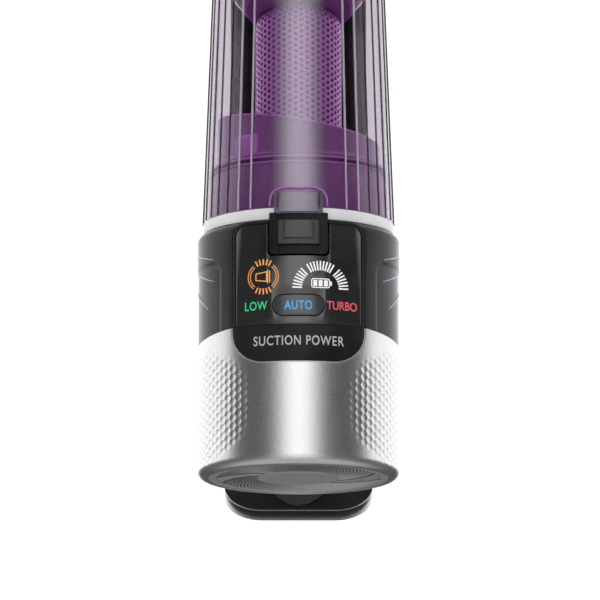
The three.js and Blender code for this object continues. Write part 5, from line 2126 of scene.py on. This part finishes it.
@dataclass(frozen=True)
class KneeHose:
    """The ribbed hose across the wand's knee."""

    ribs: int = 17
    wall: float = 0.0012
    rib: float = 0.0019
    steps_per_rib: int = 6
    half_bend: float = 0.026

    def build(self) -> None:
        """Makes the hose across the knee."""
        low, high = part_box("knee_hose")
        radius = (high.x - low.x) / 2
        middle = (low + high) / 2
        length = high.z - low.z
        outer: list[Point] = []
        count = self.ribs * self.steps_per_rib
        for i in range(count + 1):
            wave = 0.5 + 0.5 * math.cos(FULL_TURN * i / self.steps_per_rib)
            outer.append((radius - self.rib * (1 - wave), length * i / count))
        inner = [(r - self.wall, s) for r, s in reversed(outer)]
        bm = spin_profile([*outer, *inner], 48)
        bmesh.ops.translate(bm, verts=bm.verts, vec=(middle.x, middle.y, high.z))
        piece = make_object("knee_bellows", bm, 60)
        piece.data.materials.append(Finishes.rubber.material())
        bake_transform(piece)
        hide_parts("knee_hose")
        LOG.info("knee_bellows: %d faces across the knee", len(piece.data.polygons))


# ---------------------------------------------------------------- studio


@dataclass(frozen=True)
class Studio:
    """The pale floor, the light and the camera."""

    floor_half: float = 30.0
    distance: float = 3.5
    lens: float = 424.2
    above: float = math.radians(10.8)
    aim_station: float = 0.090
    aim_x: float = -0.00074
    middle_ring: tuple[Point, ...] = (
        (0.0, 1.9),
        (0.06, 1.7),
        (0.14, 0.25),
        (0.2, 0.02),
        (0.43, 0.05),
        (0.5, 1.4),
        (1.0, 1.7),
    )
    high_ring: tuple[Point, ...] = (
        (0.0, 1.3),
        (0.08, 1.0),
        (0.2, 0.12),
        (0.7, 0.12),
        (0.88, 0.06),
        (1.0, 0.05),
    )

    def floor(self) -> None:
        """A pale floor under the head."""
        floor_z = min(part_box(node)[0].z for node in frame["nodes"])
        bm = bmesh.new()
        bmesh.ops.create_grid(bm, x_segments=2, y_segments=2, size=self.floor_half)
        bmesh.ops.translate(bm, verts=bm.verts, vec=(0, 0, floor_z - 0.0005))
        made = make_object("floor", bm)
        pale = bpy.data.materials.new("pale_floor")
        recipe = Recipe(pale)
        mottle = recipe.noise(0.8, 2)
        tone = recipe.blend(mottle, (0.93, 0.93, 0.93), (0.97, 0.97, 0.97))
        surface = recipe.shader(Base_Color=tone, Roughness=0.9, Emission_Color=tone, Emission_Strength=0.85)
        recipe.close(surface)
        made.data.materials.append(pale)
        made.visible_glossy = False

    def light(self) -> None:
        """Soft light all round, with a bright strip at the front between two dark gaps."""
        world = bpy.data.worlds.new("studio")
        bpy.context.scene.world = world
        recipe = Recipe(world)
        direction = recipe.node("ShaderNodeTexCoord", output="Generated")
        across, along, up = [
            recipe.node("ShaderNodeSeparateXYZ", inputs={"Vector": direction}, output=i) for i in range(3)
        ]
        # 0 straight ahead of the display, 1 straight behind it.
        turn = recipe.node("ShaderNodeMath", {"operation": "ARCTAN2"}, {0: across, 1: along * -1.0})
        turn = recipe.node("ShaderNodeMath", {"operation": "ABSOLUTE"}, {0: turn}) / math.pi
        level = self._ring(recipe, turn, self.middle_ring)
        raised = self._ring(recipe, turn, self.high_ring)
        overhead = (0.55, 0.55, 0.55)
        low_half = recipe.blend(up.between(-0.06, 0.10), level, raised)
        sky = recipe.blend(up.between(0.5, 0.9), low_half, overhead)
        background = recipe.node("ShaderNodeBackground", inputs={"Color": sky, "Strength": 1.0})
        recipe.close(background, "ShaderNodeOutputWorld")

    @staticmethod
    def _ring(recipe: Recipe, turn: Signal, levels: Sequence[Point]) -> Signal:
        """Brightness round the horizon, from the front (0) to the back (1)."""
        stops = tuple((place, (value, value, value)) for place, value in levels)
        return recipe.node("ShaderNodeValToRGB", {"stops": stops}, {"Fac": turn})

    def camera(self) -> None:
        """Looks at the display from the exhaust end's side, with the bin upwards."""
        forward = Vector((0, math.cos(self.above), -math.sin(self.above)))
        up = Vector((0, -math.sin(self.above), -math.cos(self.above)))
        right = forward.cross(up)
        data = bpy.data.cameras.new("camera")
        data.lens = self.lens
        data.sensor_width = 36
        data.clip_end = 200
        made = bpy.data.objects.new("camera", data)
        aim = Vector((self.aim_x, BARREL.axis_y, BARREL.end - self.aim_station))
        turned = Matrix((right, up, -forward)).transposed().to_4x4()
        made.matrix_world = Matrix.Translation(aim - forward * self.distance) @ turned
        bpy.context.scene.collection.objects.link(made)
        bpy.context.scene.camera = made
        bpy.context.scene.view_settings.view_transform = "Standard"

    def set_up(self) -> None:
        """Sets up floor, light and camera."""
        self.camera()
        self.floor()
        self.light()


def fit_all(pieces: Iterable[Piece]) -> None:
    """Fits each piece in turn."""
    for piece in pieces:
        piece.fit()


def main() -> None:
    """Builds the looks round the frame."""
    logging.basicConfig(level=logging.INFO, format="%(name)s %(message)s")
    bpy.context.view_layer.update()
    Studio().set_up()
    fit_all(MotorBarrel().pieces())
    fit_all(ControlHousing().pieces())
    fit_all(LATCH.pieces())
    fit_all(DisplayUnit().pieces())
    fit_all(DustBin().pieces())
    fit_all(Cyclone().pieces())
    bench = Bench()
    fit_all(bench.pieces())
    bench.dress_plain()
    KneeHose().build()


if __name__ == "__main__":
    main()
